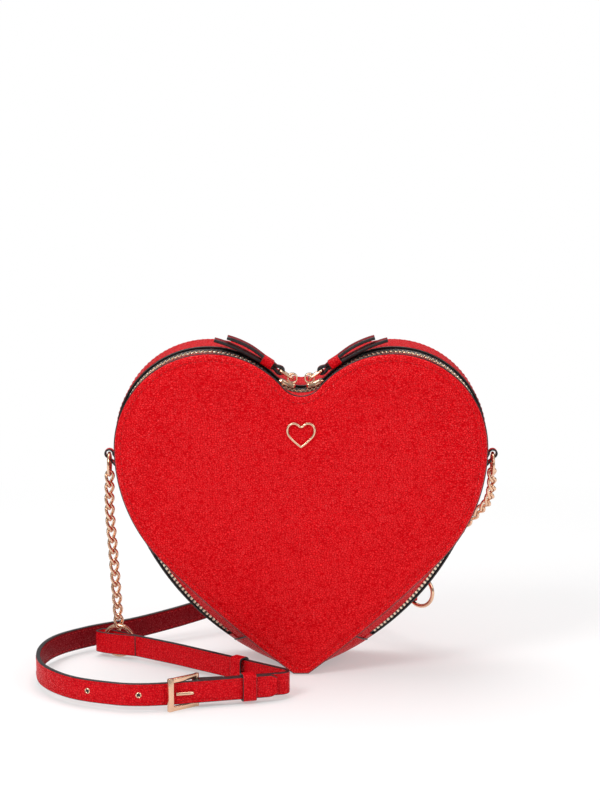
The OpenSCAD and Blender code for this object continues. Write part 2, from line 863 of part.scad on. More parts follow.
// Ribbons lie on the floor's plan as a route with rounded corners: [x, y, radius].
corner_n = 8;
function corner_pts(a, b, c, r) =
    let (
        u = unit(a - b),
        v = unit(c - b),
        half = acos(max(-1, min(1, u * v))) / 2,
        cut = r / tan(half),
        m = unit(u + v),
        o = b + m * (r / sin(half)),
        s = b + u * cut,
        e = b + v * cut,
        a0 = atan2(s[1] - o[1], s[0] - o[0]),
        a1r = atan2(e[1] - o[1], e[0] - o[0]),
        d = a1r - a0,
        sweep = d > 180 ? d - 360 : d < -180 ? d + 360 : d
    )
    half > 89.5 ? [b] : [for (i = [0:corner_n]) let (t = a0 + sweep * i / corner_n)
        [o[0] + r * cos(t), o[1] + r * sin(t)]];
function xy(p) = [p[0], p[1]];
function rounded(route) = let (n = len(route)) concat(
    [xy(route[0])],
    [for (i = [1:n - 2]) each corner_pts(xy(route[i - 1]), xy(route[i]), xy(route[i + 1]), route[i][2])],
    [xy(route[n - 1])]
);
function side_dir(p, i) =
    let (
        n = len(p),
        a = p[max(i - 1, 0)],
        b = p[i],
        c = p[min(i + 1, n - 1)],
        u = i == 0 ? unit(xy(c) - xy(b)) : unit(xy(b) - xy(a)),
        v = i == n - 1 ? u : unit(xy(c) - xy(b)),
        w = unit(u + v),
        k = 1 / max(0.3, w * u)
    ) [-w[1] * k, w[0] * k];
function ribbon_pts(p, t) = concat(
    [for (i = [0:len(p) - 1]) xy(p[i]) + side_dir(p, i) * (t / 2)],
    [for (i = [len(p) - 1:-1:0]) xy(p[i]) - side_dir(p, i) * (t / 2)]
);

module ribbon(route, t, z, w) {
    translate([0, 0, z]) linear_extrude(w) polygon(ribbon_pts(rounded(route), t));
}

// End loops of the strap, each in the axes of its ring: the ring's centre is at the origin,
// +X is the loop's end, and the strap comes from -X.
layer_t = strap_t / 2;
lay = layer_t / 2;
seam_u = -15;
seam_lap = 1;
seam_tuck = 0.1;
loop_in = strap_ring_r * cos(ring_turn) + strap_ring_wire / 2 + run_gap * 8;
loop_gap = strap_ring_r * sin(ring_turn) + strap_ring_wire + run_gap;
loop_round = 2.4;
loop_close = 20;
left_loop = [
    [seam_u - seam_lap, seam_tuck, 0],
    [loop_in + lay, 0, loop_round],
    [loop_in + lay, loop_gap + layer_t, loop_round],
    [loop_in * 0.3, loop_gap + layer_t, loop_close],
    [seam_u - seam_lap, layer_t - seam_tuck * 2, 0]
];

// The right ring leads out of its loop, which ends inside the ring.
hold_gap = strap_ring_wire + run_gap * 2;
hold_v = hold_gap / 2 + lay;
hold_in = run_gap * 2 - sqrt(pow(strap_ring_r - strap_ring_wire / 2, 2) - pow(strap_w / 2, 2));
hold_round = hold_v * 0.9;
hold_close = 6;
right_loop = [
    [seam_u - seam_lap, -hold_v, 0],
    [hold_in + lay, -hold_v, hold_round],
    [hold_in + lay, hold_v, hold_round],
    [-strap_ring_r - strap_ring_wire, hold_v, hold_close],
    [seam_u - seam_lap, layer_t - hold_v, 0]
];

module end_loop(route, c, a, z, w, flip) {
    translate([c[0], c[1], z])
        rotate([0, 0, a])
            scale([1, flip, 1])
                linear_extrude(w)
                    polygon(ribbon_pts(rounded(route), layer_t));
}

function from_local(c, a, p) = [c[0] + p[0] * cos(a) - p[1] * sin(a), c[1] + p[0] * sin(a) + p[1] * cos(a)];

// Buckle axes: origin on the long strap's middle line, +X towards its outer end and
// +Y towards the front.
key = of_width([-0.1163, -0.4093]);
key_a = 196.4;
function from_key(u, v) = from_local(key, key_a, [u, v]);
hinge_u = 33;
pin_wire_r = 1.3;
hinge_v = -(strap_t / 2 + run_gap + layer_t + pin_gap + pin_wire_r);
under_v = -(strap_t + run_gap);
frame_bar = 3.2;
frame_t = 2.4;
frame_rise_v = strap_t / 2 + run_gap + frame_t / 2 + frame_bar * 0.2;
frame_span = buckle_l - frame_bar / 2 - pin_wire_r;
frame_tilt = asin((frame_rise_v - hinge_v) / frame_span);
fold_r = pin_wire_r + pin_gap + layer_t;
prong_slot = 4;

left_seam = from_local(left_ring_c, left_strap_a, [seam_u, lay]);
short_bend = of_width([-0.3349, -0.0814]);
short_curve = 260;
turn_u = -24.5;
turn_r = 5;
short_turn = from_key(turn_u, under_v);
short_end = from_key(hinge_u - fold_r * 0.7, under_v);
function at_r(p, r) = [p[0], p[1], r];
short_route = [
    at_r(left_seam, 0), at_r(short_bend, short_curve), at_r(short_turn, turn_r), at_r(short_end, 0)
];

// Moves a shape to the buckle's axes, at the height of the strap.
module at_key(u, v, z) {
    translate([key[0], key[1], z]) rotate([0, 0, key_a]) translate([u, v, 0]) children();
}

// The short strap's end goes round the hinge bar, and its tail is sewn on underneath.
tail_l = 15;
fold_lay_r = pin_wire_r + pin_gap + lay;
fold_round = fold_lay_r * 0.93;
// Folded layers stand back from the strap's edges by this much.
edge_step = 0.05;
fold_route = [
    [hinge_u - tail_l / 3, hinge_v + fold_lay_r - seam_tuck, 0],
    [hinge_u + fold_lay_r, hinge_v + fold_lay_r, fold_round],
    [hinge_u + fold_lay_r, hinge_v - fold_lay_r, fold_round],
    [hinge_u - fold_lay_r, hinge_v - fold_lay_r, fold_lay_r],
    [hinge_u - tail_l, under_v - strap_t / 2 - lay + seam_tuck, 0]
];

module strap_short() {
    layer_w = strap_w - edge_step * 2;
    color(red_c) {
        difference() {
            union() {
                ribbon(short_route, strap_t, strap_z, strap_w);
                at_key(0, 0, strap_z + edge_step)
                    linear_extrude(layer_w)
                        polygon(ribbon_pts(rounded(fold_route), layer_t));
            }
            at_key(hinge_u - fold_r - overrun / 2, hinge_v - fold_r - overrun,
                strap_z + (strap_w - prong_slot) / 2)
                cube([fold_r * 2 + overrun * 2, fold_r * 2 + overrun * 2, prong_slot]);
        }
        end_loop(left_loop, left_ring_c, left_strap_a, strap_z + edge_step, layer_w, 1);
    }
}

// Buckle frame, in the buckle's axes with its hinge bar at the origin.
frame_h = strap_w + strap_z * 2;
module buckle_frame() {
    rail = (frame_h - strap_w) / 2 - run_gap;
    color(gold_c)
        at_key(hinge_u, hinge_v, 0)
            rotate([0, 0, frame_tilt]) {
                cylinder(h = frame_h, r = pin_wire_r);
                translate([frame_span - frame_bar / 2, -frame_t / 2, 0])
                    cube([frame_bar, frame_t, frame_h]);
                for (z = [0, frame_h - rail])
                    translate([0, -frame_t / 2, z])
                        cube([frame_span, frame_t, rail]);
            }
}

// Prong: an eye on the hinge bar, a leg through the strap and a tip along its front.
prong_w = 2;
prong_h = prong_slot - run_gap * 2;
prong_v = strap_t / 2 + run_gap / 2;
prong_leg_u = 3.4;
hole_u = hinge_u + prong_leg_u;
hole_r = 2;
prong_eye_r = pin_wire_r + prong_w * 0.55;
module buckle_prong() {
    z = strap_z + strap_w / 2;
    leg_v = prong_v + prong_w - hinge_v;
    color(gold_c)
        at_key(hinge_u, hinge_v, z)
            difference() {
                union() {
                    translate([0, 0, -prong_h / 2]) cylinder(h = prong_h, r = prong_eye_r);
                    translate([0, 0, -prong_w / 2])
                        cube([prong_leg_u + prong_w / 2, prong_eye_r, prong_w]);
                    translate([prong_leg_u - prong_w / 2, 0, -prong_w / 2])
                        cube([prong_w, leg_v, prong_w]);
                    translate([prong_leg_u - prong_w / 2, leg_v - prong_w, -prong_w / 2])
                        cube([frame_span * 0.6, prong_w, prong_w]);
                }
                translate([0, 0, -prong_h / 2 - overrun])
                    cylinder(h = prong_h + overrun * 2, r = pin_wire_r + pin_gap);
            }
}

// Long strap. Its route runs from the tip through the buckle, round the outer left and
// up behind the bag to the right ring. Heights are those of its lower edge.
tip_u = -12;
straight_u = 46;
right_strap_z = right_ring_c[2] - strap_w / 2;
right_v = hold_v - lay;
end_run = 12;
right_seam = from_local(right_ring_c, right_strap_a, [seam_u, right_v]);
right_back = from_local(right_ring_c, right_strap_a, [seam_u - end_run, right_v]);
function at3(p, z) = [p[0], p[1], z];
// The round outer bend lies flat; behind the bag the strap climbs to the right ring.
// Shares are those of the body's width, and for the climb, of the height to the ring.
bend_shares = [
    [-0.4, -0.4837], [-0.4791, -0.4721], [-0.5953, -0.4093], [-0.6791, -0.2884],
    [-0.7047, -0.1395], [-0.6791, 0], [-0.5953, 0.1116]
];
climb_shares = [
    [-0.4558, 0.1953, 0.067], [-0.2884, 0.2977, 0.278], [-0.1395, 0.4279, 0.509],
    [0.0186, 0.5023, 0.699], [0.1442, 0.4558, 0.825], [0.2, 0.3488, 0.93]
];
bend_pts = concat(
    [at3(from_key(straight_u, 0), strap_z)],
    [for (f = bend_shares) at3(of_width(f), strap_z)],
    [for (f = climb_shares)
        at3(of_width([f[0], f[1]]), strap_z + (right_strap_z - strap_z) * f[2])],
    [at3(right_back, right_strap_z), at3(right_seam, right_strap_z)]
);
straight_n = 4;
long_route = concat(
    [for (i = [0:straight_n - 1])
        at3(from_key(tip_u + (straight_u - tip_u) * i / straight_n, 0), strap_z)],
    smooth(bend_pts)
);

module ribbon_solid(p, t, w) {
    n = len(p);
    pts = [for (i = [0:n - 1]) let (s = side_dir(p, i) * (t / 2), z = p[i][2]) each [
        [p[i][0] + s[0], p[i][1] + s[1], z], [p[i][0] - s[0], p[i][1] - s[1], z],
        [p[i][0] - s[0], p[i][1] - s[1], z + w], [p[i][0] + s[0], p[i][1] + s[1], z + w]
    ]];
    sides = [for (i = [0:n - 2]) for (k = [0:3])
        let (k2 = (k + 1) % 4, a = i * 4, b = a + 4)
        each [[a + k, a + k2, b + k2], [a + k, b + k2, b + k]]];
    polyhedron(pts, concat(sides, [[3, 2, 1, 0]], [[for (k = [0:3]) (n - 1) * 4 + k]]),
        convexity = 6);
}

// Eyelets for the prong along the outer bend, on the front of the strap.
eyelet_pitch = 30;
eyelet_r = 2.3;
eyelet_hole_r = 1.3;
eyelet_t = 0.45;
long_runs = runs(long_route);
hole_run = hole_u - tip_u;
module at_eyelet(i) {
    s = hole_run + i * eyelet_pitch;
    p = along(long_route, long_runs, s);
    q = along(long_route, long_runs, s + eyelet_r) - along(long_route, long_runs, s - eyelet_r);
    translate([p[0], p[1], p[2] + strap_w / 2])
        rotate([0, 0, atan2(q[1], q[0])])
            rotate([-90, 0, 0])
                children();
}

module eyelets() {
    color(gold_c)
        for (i = [1:2])
            at_eyelet(i)
                translate([0, 0, strap_t / 2 + pin_gap])
                    difference() {
                        cylinder(h = eyelet_t, r = eyelet_r);
                        translate([0, 0, -overrun])
                            cylinder(h = eyelet_t + overrun * 2, r = eyelet_hole_r);
                    }
}

module strap_long() {
    color(red_c) {
        difference() {
            ribbon_solid(long_route, strap_t, strap_w);
            for (i = [1:2])
                at_eyelet(i)
                    cylinder(h = strap_t * 2, r = eyelet_hole_r, center = true, $fn = 24);
            at_key(hole_u, 0, strap_z + strap_w / 2)
                rotate([90, 0, 0])
                    cylinder(h = strap_t * 2, r = hole_r, center = true, $fn = 24);
        }
        end_loop(right_loop, right_ring_c, right_strap_a, right_strap_z, strap_w, -1);
    }
}

// Keepers.
keeper_w = 8;
keeper_t = 1.2;
// Band standing round the strap, with its hollow from v0 to v1 and from z0 to z1.
module keeper_band(v0, v1, z0, z1) {
    difference() {
        translate([0, v0 - keeper_t, z0 - keeper_t])
            cube([keeper_w, v1 - v0 + keeper_t * 2, z1 - z0 + keeper_t * 2]);
        translate([-overrun, v0, z0]) cube([keeper_w + overrun * 2, v1 - v0, z1 - z0]);
    }
}

// The sliding keeper holds both straps beside the buckle.
module sliding_keeper() {
    color(red_c)
        at_key(0, 0, 0)
            keeper_band(under_v - strap_t / 2 - slip_gap, strap_t / 2 + slip_gap,
                strap_z - slip_gap, strap_z + strap_w + slip_gap);
}

// The fixed keeper stands empty on the short strap. Its axes follow the strap there.
fixed_run = short_turn - short_bend;
fixed_at = short_bend + fixed_run * 0.5;
fixed_a = atan2(fixed_run[1], fixed_run[0]);
module fixed_keeper() {
    color(red_c)
        translate([fixed_at[0], fixed_at[1], 0])
            rotate([0, 0, fixed_a])
                keeper_band(-strap_t * 1.5 - run_gap, strap_t / 2, strap_z - slip_gap,
                    strap_z + strap_w + slip_gap);
}

main_gusset();
base_gusset();
back_panel();
back_pad();
back_board();
back_lining();
gusset_lining();
slip_pocket();
zip_tape_rear();
zip_teeth_rear();
left_zip_end();
right_zip_end();
left_tab();
right_tab();
front_panel();
front_pad();
front_board();
front_lining();
front_strip();
zip_tape_front();
zip_teeth_front();
emblem();
left_slider();
right_slider();
left_pull_ring();
right_pull_ring();
left_pull();
right_pull();
left_pull_band();
right_pull_band();
left_side_ring();
right_side_ring();
left_chain();
right_chain();
left_strap_ring();
right_strap_ring();
strap_short();
strap_long();
eyelets();
buckle_frame();
buckle_prong();
sliding_keeper();
fixed_keeper();
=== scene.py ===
import bpy
import math
import random
import numpy as np
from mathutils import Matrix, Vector
from mathutils.geometry import delaunay_2d_cdt


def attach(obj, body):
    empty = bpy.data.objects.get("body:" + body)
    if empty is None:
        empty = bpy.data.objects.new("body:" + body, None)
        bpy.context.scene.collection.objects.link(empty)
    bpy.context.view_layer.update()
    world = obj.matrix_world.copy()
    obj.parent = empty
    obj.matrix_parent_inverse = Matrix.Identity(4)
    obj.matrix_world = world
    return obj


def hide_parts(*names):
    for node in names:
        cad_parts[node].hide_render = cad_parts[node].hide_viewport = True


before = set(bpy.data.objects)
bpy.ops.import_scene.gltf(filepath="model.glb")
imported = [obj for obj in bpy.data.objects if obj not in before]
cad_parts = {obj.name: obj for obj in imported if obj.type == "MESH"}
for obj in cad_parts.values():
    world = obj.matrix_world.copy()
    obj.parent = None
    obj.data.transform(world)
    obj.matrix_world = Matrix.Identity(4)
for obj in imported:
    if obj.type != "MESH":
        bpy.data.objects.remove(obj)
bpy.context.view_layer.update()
rng = random.Random(11)
rad = math.radians

# Sizes in millimetres, as in the part's source. A form of the outline holds the lobe's radius and
# height, the radii of cleft and side, the rise beside the tip in degrees and the tip's width.
BODY_W = 216.0
ZIP_FORM = (54.0, 136.512, 21.492, 93.528, 20.0, 14.04)
FRONT_FORM = (55.512, 133.488, 12.96, 95.472, 37.0, 9.072)
LOBE_R, LOBE_Z, CLEFT_R = ZIP_FORM[:3]
RUN_GAP, PIN_GAP = 0.3, 0.08
SIDES = ((1, "right"), (-1, "left"))

# ---- outline
TOE_N, SIDE_N, LOBE_N, CLEFT_N = 14, 2, 20, 7
STEP, FINE = 5, 12
lobe_x = BODY_W / 2 - LOBE_R
cleft_z = LOBE_Z + math.sqrt((LOBE_R + CLEFT_R) ** 2 - lobe_x ** 2)


def runs(p):
    """Length along a path up to each of its points."""
    return np.concatenate([[0], np.cumsum(np.linalg.norm(np.diff(p, axis=0), axis=1))])


def at(p, r, s):
    """Point of a path at the length s, with r as its runs."""
    return np.array([np.interp(s, r, p[:, k]) for k in range(p.shape[1])])


def arc(cx, cz, r, a0, a1, n, first):
    a = a0 + (a1 - a0) * np.arange(first, n + 1) / n
    return np.stack([cx + r * np.cos(a), cz + r * np.sin(a)], 1)


def fine_half(inset, f, k):
    """Right half of an outline; f runs from 0 at the zip to 1 at the front."""
    lr, lz, cr, sr, rise, foot = [a + (b - a) * f for a, b in zip(ZIP_FORM, FRONT_FORM)]
    fx, lx, sx = foot / 2, BODY_W / 2 - lr, BODY_W / 2 - sr
    cz = lz + math.sqrt((lr + cr) ** 2 - lx ** 2)
    dx = sx - fx
    tr = (dx * dx + lz * lz - sr * sr) / (2 * (lz * math.cos(rad(rise)) - dx * math.sin(rad(rise)) - sr))
    tx, tz = fx - tr * math.sin(rad(rise)), tr * math.cos(rad(rise))
    side_a, cleft_a = math.atan2(lz - tz, sx - tx), math.atan2(cz - lz, -lx)
    x0 = max(0.3, tx + math.sqrt((tr - inset) ** 2 - (tz - inset) ** 2))
    a0 = -math.acos((x0 - tx) / (tr - inset))
    return np.concatenate([
        arc(tx, tz, tr - inset, a0, side_a, TOE_N * k, 0),
        arc(sx, lz, sr - inset, side_a, 0, SIDE_N * k, 1),
        arc(lx, lz, lr - inset, 0, cleft_a, LOBE_N * k, 1),
        arc(0, cz, cr + inset, cleft_a + math.pi, 1.5 * math.pi, CLEFT_N * k, 1)])


zip_run = runs(fine_half(0, 0, STEP))
SHARES = zip_run / zip_run[-1]


def half_outline(inset, f=0.0):
    p = fine_half(inset, f, FINE)
    r = runs(p)
    return at(p, r, SHARES * r[-1]).T


def outline(inset, f=0.0):
    h = half_outline(inset, f)
    h[-1, 0] = 0
    return np.concatenate([h, h[-2::-1] * [-1, 1]])


N = len(outline(0))
# Parts of the outline: over the lobes from one seam of the base piece to the other, and under them.
SEAM = 3 * STEP
OPEN = slice(SEAM, N - SEAM)
FLAT = [*range(N - 1 - SEAM, N), *range(SEAM + 1)]


def at_depth(o, y):
    return np.stack([o[:, 0], np.full(len(o), y), o[:, 1]], 1)


def rings_of(rows, pick=slice(None)):
    """A ring for each row of inset, depth and share, over a part of the outline."""
    return np.array([at_depth(outline(inset, *f)[pick], y) for inset, y, *f in rows])


def along(rows, pick=slice(None)):
    """The same as sections that follow one another along the outline."""
    return rings_of(rows, pick).transpose(1, 0, 2)


# ---- mesh tools
def add_mesh(name, verts, faces, mats, fmat=None, sharp=50):
    me = bpy.data.meshes.new(name)
    me.from_pydata((np.asarray(verts, float) * 0.001).tolist(), [], faces)
    ob = bpy.data.objects.new(name, me)
    bpy.context.scene.collection.objects.link(ob)
    for m in (mats if isinstance(mats, (list, tuple)) else [mats]):
        me.materials.append(m)
    if fmat is not None:
        me.polygons.foreach_set("material_index", list(fmat))
    me.polygons.foreach_set("use_smooth", [True] * len(me.polygons))
    me.set_sharp_from_angle(angle=rad(sharp))
    me.update()
    return ob


def skin(p, s, wrap_p, wrap_s, caps=False, base=0):
    """Quads over p rings of s points. The caps close the first and last ring."""
    faces = []
    for i in range(p if wrap_p else p - 1):
        for k in range(s if wrap_s else s - 1):
            a, b = base + i * s, base + ((i + 1) % p) * s
            k2 = (k + 1) % s
            faces.append([a + k, a + k2, b + k2, b + k])
    if caps:
        faces.append([base + k for k in range(s)][::-1])
        faces.append([base + (p - 1) * s + k for k in range(s)])
    return faces


def loft(name, rings, mats, wrap_p=False, wrap_s=True, section_mat=None, cap_mat=0, sharp=50):
    """Mesh over rings, with a material for each side of the section and one for the caps."""
    rings = np.asarray(rings, float)
    p, s = rings.shape[:2]
    faces = skin(p, s, wrap_p, wrap_s, not wrap_p)
    per = s if wrap_s else s - 1
    quads = len(faces) - (0 if wrap_p else 2)
    fmat = [section_mat[q % per] if section_mat else 0 for q in range(quads)]
    fmat += [cap_mat] * (len(faces) - quads)
    return add_mesh(name, rings.reshape(-1, 3), faces, mats, fmat, sharp)


def pile(name, blocks, mat, sharp):
    """Many small closed lofts of one kind as one mesh."""
    blocks = np.array(blocks, float)
    n, p, s = blocks.shape[:3]
    faces = [f for i in range(n) for f in skin(p, s, False, True, True, i * p * s)]
    return add_mesh(name, blocks.reshape(-1, 3), faces, mat, sharp=sharp)


def merge(name, objs):
    """Joins meshes with the same list of materials into one."""
    verts, faces, fmat, base = [], [], [], 0
    mats = list(objs[0].data.materials)
    for o in objs:
        me = o.data
        co = np.empty(len(me.vertices) * 3)
        me.vertices.foreach_get("co", co)
        verts.append(co.reshape(-1, 3) * 1000)
        faces += [[base + v for v in p.vertices] for p in me.polygons]
        fmat += [p.material_index for p in me.polygons]
        base += len(me.vertices)
        bpy.data.objects.remove(o)
        bpy.data.meshes.remove(me)
    return add_mesh(name, np.concatenate(verts), faces, mats, fmat)


def mirrored(verts, sgn):
    v = np.array(verts, float)
    v[..., 0] *= sgn
    return v


def unit(v):
    v = np.asarray(v, float)
    return v / (np.linalg.norm(v, axis=-1, keepdims=True) + 1e-12)


def ease(f):
    f = np.clip(f, 0, 1)
    return f * f * (3 - 2 * f)


def resample(p, step):
    p = np.asarray(p, float)
    r = runs(p)
    n = max(2, int(round(r[-1] / step)) + 1)
    return at(p, r, np.linspace(0, r[-1], n)).T


def smooth_path(p, n):
    """Curve through points, n steps from each to the next."""
    p = np.asarray(p, float)
    out = []
    for i in range(len(p) - 1):
        a, b, c, d = p[max(i - 1, 0)], p[i], p[i + 1], p[min(i + 2, len(p) - 1)]
        for k in range(n):
            f = k / n
            out.append(0.5 * (2 * b + (c - a) * f + (2 * a - 5 * b + 4 * c - d) * f * f
                              + (3 * b - a - 3 * c + d) * f ** 3))
    return np.array(out + [p[-1]])


def tangents(p, closed=False):
    if closed:
        return unit(np.roll(p, -1, 0) - np.roll(p, 1, 0))
    return unit(np.gradient(p, axis=0))


def turn_steps(n):
    return np.arange(n) * 2 * math.pi / n


def tube(name, path, radius, mat, closed=False, sides=12, up=(0, 1, 0), squash=1.0):
    """Round bar along a path, with its frame kept towards up."""
    p = np.asarray(path, float)
    t = tangents(p, closed)
    a = unit(np.cross(t, np.asarray(up, float)))
    b = np.cross(a, t)
    u = turn_steps(sides)[None, :, None]
    rings = p[:, None] + radius * (np.cos(u) * a[:, None] + squash * np.sin(u) * b[:, None])
    return loft(name, rings, mat, wrap_p=closed, sharp=80)


def across(normal):
    """Two directions across a normal, and the normal."""
    n = unit(normal)
    a = unit(np.cross(n, [0, 0, 1.0]))
    return a, np.cross(n, a), n


def revolve(name, c, axes, prof, seg, mat, **kw):
    """Section of points (outward, along) turned about a centre."""
    a, b, axis = (np.asarray(v, float) for v in axes)
    rr = [[np.asarray(c) + (a * math.cos(u) + b * math.sin(u)) * q[0] + axis * q[1] for q in prof]
          for u in turn_steps(seg)]
    return loft(name, rr, mat, wrap_p=True, **kw)


def torus(name, c, r, wire, normal, mat):
    prof = [(r + wire / 2 * math.cos(u), wire / 2 * math.sin(u)) for u in turn_steps(16)]
    return revolve(name, c, across(normal), prof, 64, mat, sharp=80)


def round_rect(w, h, r, n):
    """Closed outline, w along the first axis and h along the second."""
    pts = []
    x, y = w / 2 - r, h / 2 - r
    for cx, cy, a0 in ((x, y, 0), (-x, y, 90), (-x, -y, 180), (x, -y, 270)):
        for k in range(n + 1):
            a = rad(a0 + 90 * k / n)
            pts.append([cx + r * math.cos(a), cy + r * math.sin(a)])
    return np.array(pts)


def cut_sides(sec, axis, limit):
    """True for each side of a section that lies further out on one axis than a limit."""
    return np.abs((sec + np.roll(sec, -1, 0))[:, axis] / 2) > limit


def as_ints(flags):
    return [int(c) for c in flags]


def bent_strip(path, half_w, t, r):
    """Rings of a strip that bends in the XZ plane, its normals and the materials of its sides."""
    d = tangents(path)
    n = np.stack([-d[:, 2], np.zeros(len(d)), d[:, 0]], 1)
    rr = []
    for i, hw in enumerate(half_w):
        sec = round_rect(t, 2 * hw, r, 3)
        rr.append([path[i] + n[i] * q[0] + [0, q[1], 0] for q in sec])
    return rr, n, as_ints(cut_sides(sec, 1, hw - r * 0.9))


# Each thread: share of its length, share of its radius, height over the leather in radii.
THREAD = ((0.0, 0.25, -0.9), (0.18, 0.85, 0.1), (0.5, 1.0, 0.35), (0.82, 0.85, 0.1), (1.0, 0.25, -0.9))
# Pitch, length and radius of the stitches.
PANEL_SEW, EDGE_SEW, STRAP_SEW = (3.0, 2.15, 0.27), (3.0, 2.1, 0.22), (2.8, 1.9, 0.2)
POCKET_SEW, PULL_SEW, TAB_SEW = (3.0, 2.1, 0.2), (2.6, 1.8, 0.18), (2.4, 1.7, 0.2)
JITTER = 0.04


def stitches(name, lines, mat, kind):
    """Threads along lines, each a path with one normal or one for each point, sunk at both ends."""
    pitch, length, r = kind
    blocks = []
    for path, nrm in lines:
        p = np.asarray(path, float)
        nrm = np.broadcast_to(np.asarray(nrm, float), p.shape)
        rr = runs(p)
        for i in range(int((rr[-1] - length) / pitch)):
            s = (i + 0.5) * pitch + rng.uniform(-JITTER, JITTER) * pitch
            a0, a1 = at(p, rr, s), at(p, rr, s + length)
            n = unit(at(nrm, rr, s + length / 2))
            w = unit(np.cross(n, unit(a1 - a0)))
            blocks.append([[
                a0 + (a1 - a0) * f + n * r * up + r * wide * (math.cos(u) * w + math.sin(u) * n)
                for u in turn_steps(6)] for f, wide, up in THREAD])
    return pile(name, blocks, mat, 80)


# ---- materials
def rgba(c):
    """A colour, or a number as a grey."""
    return (c, c, c, 1) if isinstance(c, (int, float)) else (*c, 1)


class Nodes:
    """Node tree of a material or world."""

    def __init__(self, owner, out):
        owner.use_nodes = True
        self.nt = owner.node_tree
        self.nt.nodes.clear()
        self.out = self.new(out)

    def feed(self, node, inputs):
        """Each input gets its value, or a link from another node's output."""
        for k, v in inputs.items():
            if isinstance(v, bpy.types.NodeSocket):
                self.nt.links.new(v, node.inputs[k])
            else:
                node.inputs[k].default_value = v

    def new(self, kind, inputs=None, **props):
        n = self.nt.nodes.new("ShaderNode" + kind)
        for k, v in props.items():
            setattr(n, k, v)
        self.feed(n, inputs or {})
        return n

    def coords(self, scale=(1, 1, 1), shift=(0, 0, 0)):
        v = self.new("TexCoord").outputs["Object"]
        return self.new("Mapping", {"Vector": v, "Scale": scale, "Location": shift}).outputs[0]

    def noise(self, vec, scale, detail=2.0, rough=0.5, out=0):
        return self.new("TexNoise", {"Scale": scale, "Detail": detail, "Roughness": rough,
                                     "Vector": vec}).outputs[out]

    def ramp(self, fac, stops):
        r = self.new("ValToRGB", {0: fac})
        e = r.color_ramp.elements
        for x, (pos, col) in zip((e[0], e[1]), (stops[0], stops[-1])):
            x.position, x.color = pos, rgba(col)
        for pos, col in stops[1:-1]:
            e.new(pos).color = rgba(col)
        return r.outputs[0]

    def math(self, op, a, b, clamp=False):
        return self.new("Math", {0: a, 1: b}, operation=op, use_clamp=clamp).outputs[0]

    def total(self, *terms, clamp=False):
        """Sum of outputs, each with its weight."""
        f = self.math("MULTIPLY", *terms[0])
        for t in terms[1:]:
            f = self.math("ADD", f, self.math("MULTIPLY", *t), clamp)
        return f

    def mix(self, fac, a, b, blend="MIX"):
        return self.new("MixRGB", {0: fac, 1: a, 2: b}, blend_type=blend).outputs[0]

    def bump(self, height, strength, distance, normal=None):
        inputs = {"Strength": strength, "Distance": distance, "Height": height}
        if normal is not None:
            inputs["Normal"] = normal
        return self.new("Bump", inputs).outputs[0]


class Material(Nodes):
    def __init__(self, name):
        self.mat = bpy.data.materials.new(name)
        super().__init__(self.mat, "OutputMaterial")
        self.bsdf = self.new("BsdfPrincipled")
        self.feed(self.out, {0: self.bsdf.outputs[0]})

    def set(self, **kw):
        """Sets inputs of the surface and returns the finished material."""
        self.feed(self.bsdf, {k.replace("_", " "): v for k, v in kw.items()})
        return self.mat


def leather(name, lo, hi, cell=730.0, grain=0.5, rough=(0.24, 0.6), stretch=(1, 1, 1.35),
            gloss=(0.02, 0.5), light=None):
    """Pebbled leather: cells with soft tops that are lighter from wear and painted highlight, painted shade
    between the cells, fine pores, slow shifts of tone.
    """
    m = Material(name)
    v = m.coords(stretch)
    bent = m.mix(0.0011, v, m.noise(v, cell * 0.42, 1.0, out="Color"), "LINEAR_LIGHT")
    rims, cells = [m.new("TexVoronoi", {"Scale": cell, "Randomness": 0.78, "Vector": bent}, feature=kind)
                   for kind in ("DISTANCE_TO_EDGE", "F1")]
    tops = m.ramp(rims.outputs["Distance"], [(0.0, 0), (0.12, 0.55), (0.42, 1)])
    own = m.new("SeparateColor", {0: cells.outputs["Color"]}).outputs
    # Painted shade: the tone goes towards lo in the creases between the pebbles and towards hi on their tops,
    # over slow random shifts.
    f = m.total((tops, 0.72), (m.noise(v, 26, 3.0, 0.55), 0.3), (own[0], 0.07))
    tone = m.mix(m.math("SUBTRACT", f, 0.1, clamp=True), rgba(lo), rgba(hi))
    # Painted highlight: the pebble tops are mixed towards the light colour, partly as wear and partly as a
    # highlight; the same mask raises their gloss.
    lit = m.math("ADD", m.math("MULTIPLY", own[2], 0.25), 0.75)
    wear_and_painted_highlight = m.ramp(m.math("MULTIPLY", tops, lit), [(0.3, 0), (1.0, 1)])
    height = m.total((tops, 0.9), (m.noise(v, cell * 0.11, 3.0), 0.5), (own[1], 0.15))
    return m.set(
        Base_Color=m.mix(wear_and_painted_highlight, tone, rgba(light or hi)),
        Specular_IOR_Level=m.ramp(wear_and_painted_highlight, [(0.0, gloss[0]), (1.0, gloss[1])]),
        Roughness=m.ramp(tops, [(0.0, rough[1]), (1.0, rough[0])]),
        Normal=m.bump(m.noise(v, cell * 3.2), 0.12, 0.00008, m.bump(height, grain, 0.0007)),
        IOR=1.46, Sheen_Weight=0.0)


def paint(name, col, rough):
    """Painted cut edge, with a soft uneven skin."""
    m = Material(name)
    v = m.coords()
    broad, fine = m.noise(v, 420, 3.0), m.noise(v, 1900)
    return m.set(
        Base_Color=m.ramp(broad, [(0.3, [c * 0.7 for c in col]), (0.75, [c * 1.5 for c in col])]),
        Roughness=m.ramp(fine, [(0.2, rough - 0.08), (0.8, rough + 0.14)]),
        Normal=m.bump(broad, 0.25, 0.0003, m.bump(fine, 0.1, 0.00008)))


def thread(name, lo, hi):
    """Twisted sewing thread."""
    m = Material(name)
    twist = m.noise(m.coords(), 3800)
    return m.set(Base_Color=m.ramp(twist, [(0.25, lo), (0.8, hi)]), Normal=m.bump(twist, 0.5, 0.0001),
                 Roughness=0.55, Specular_IOR_Level=0.2)


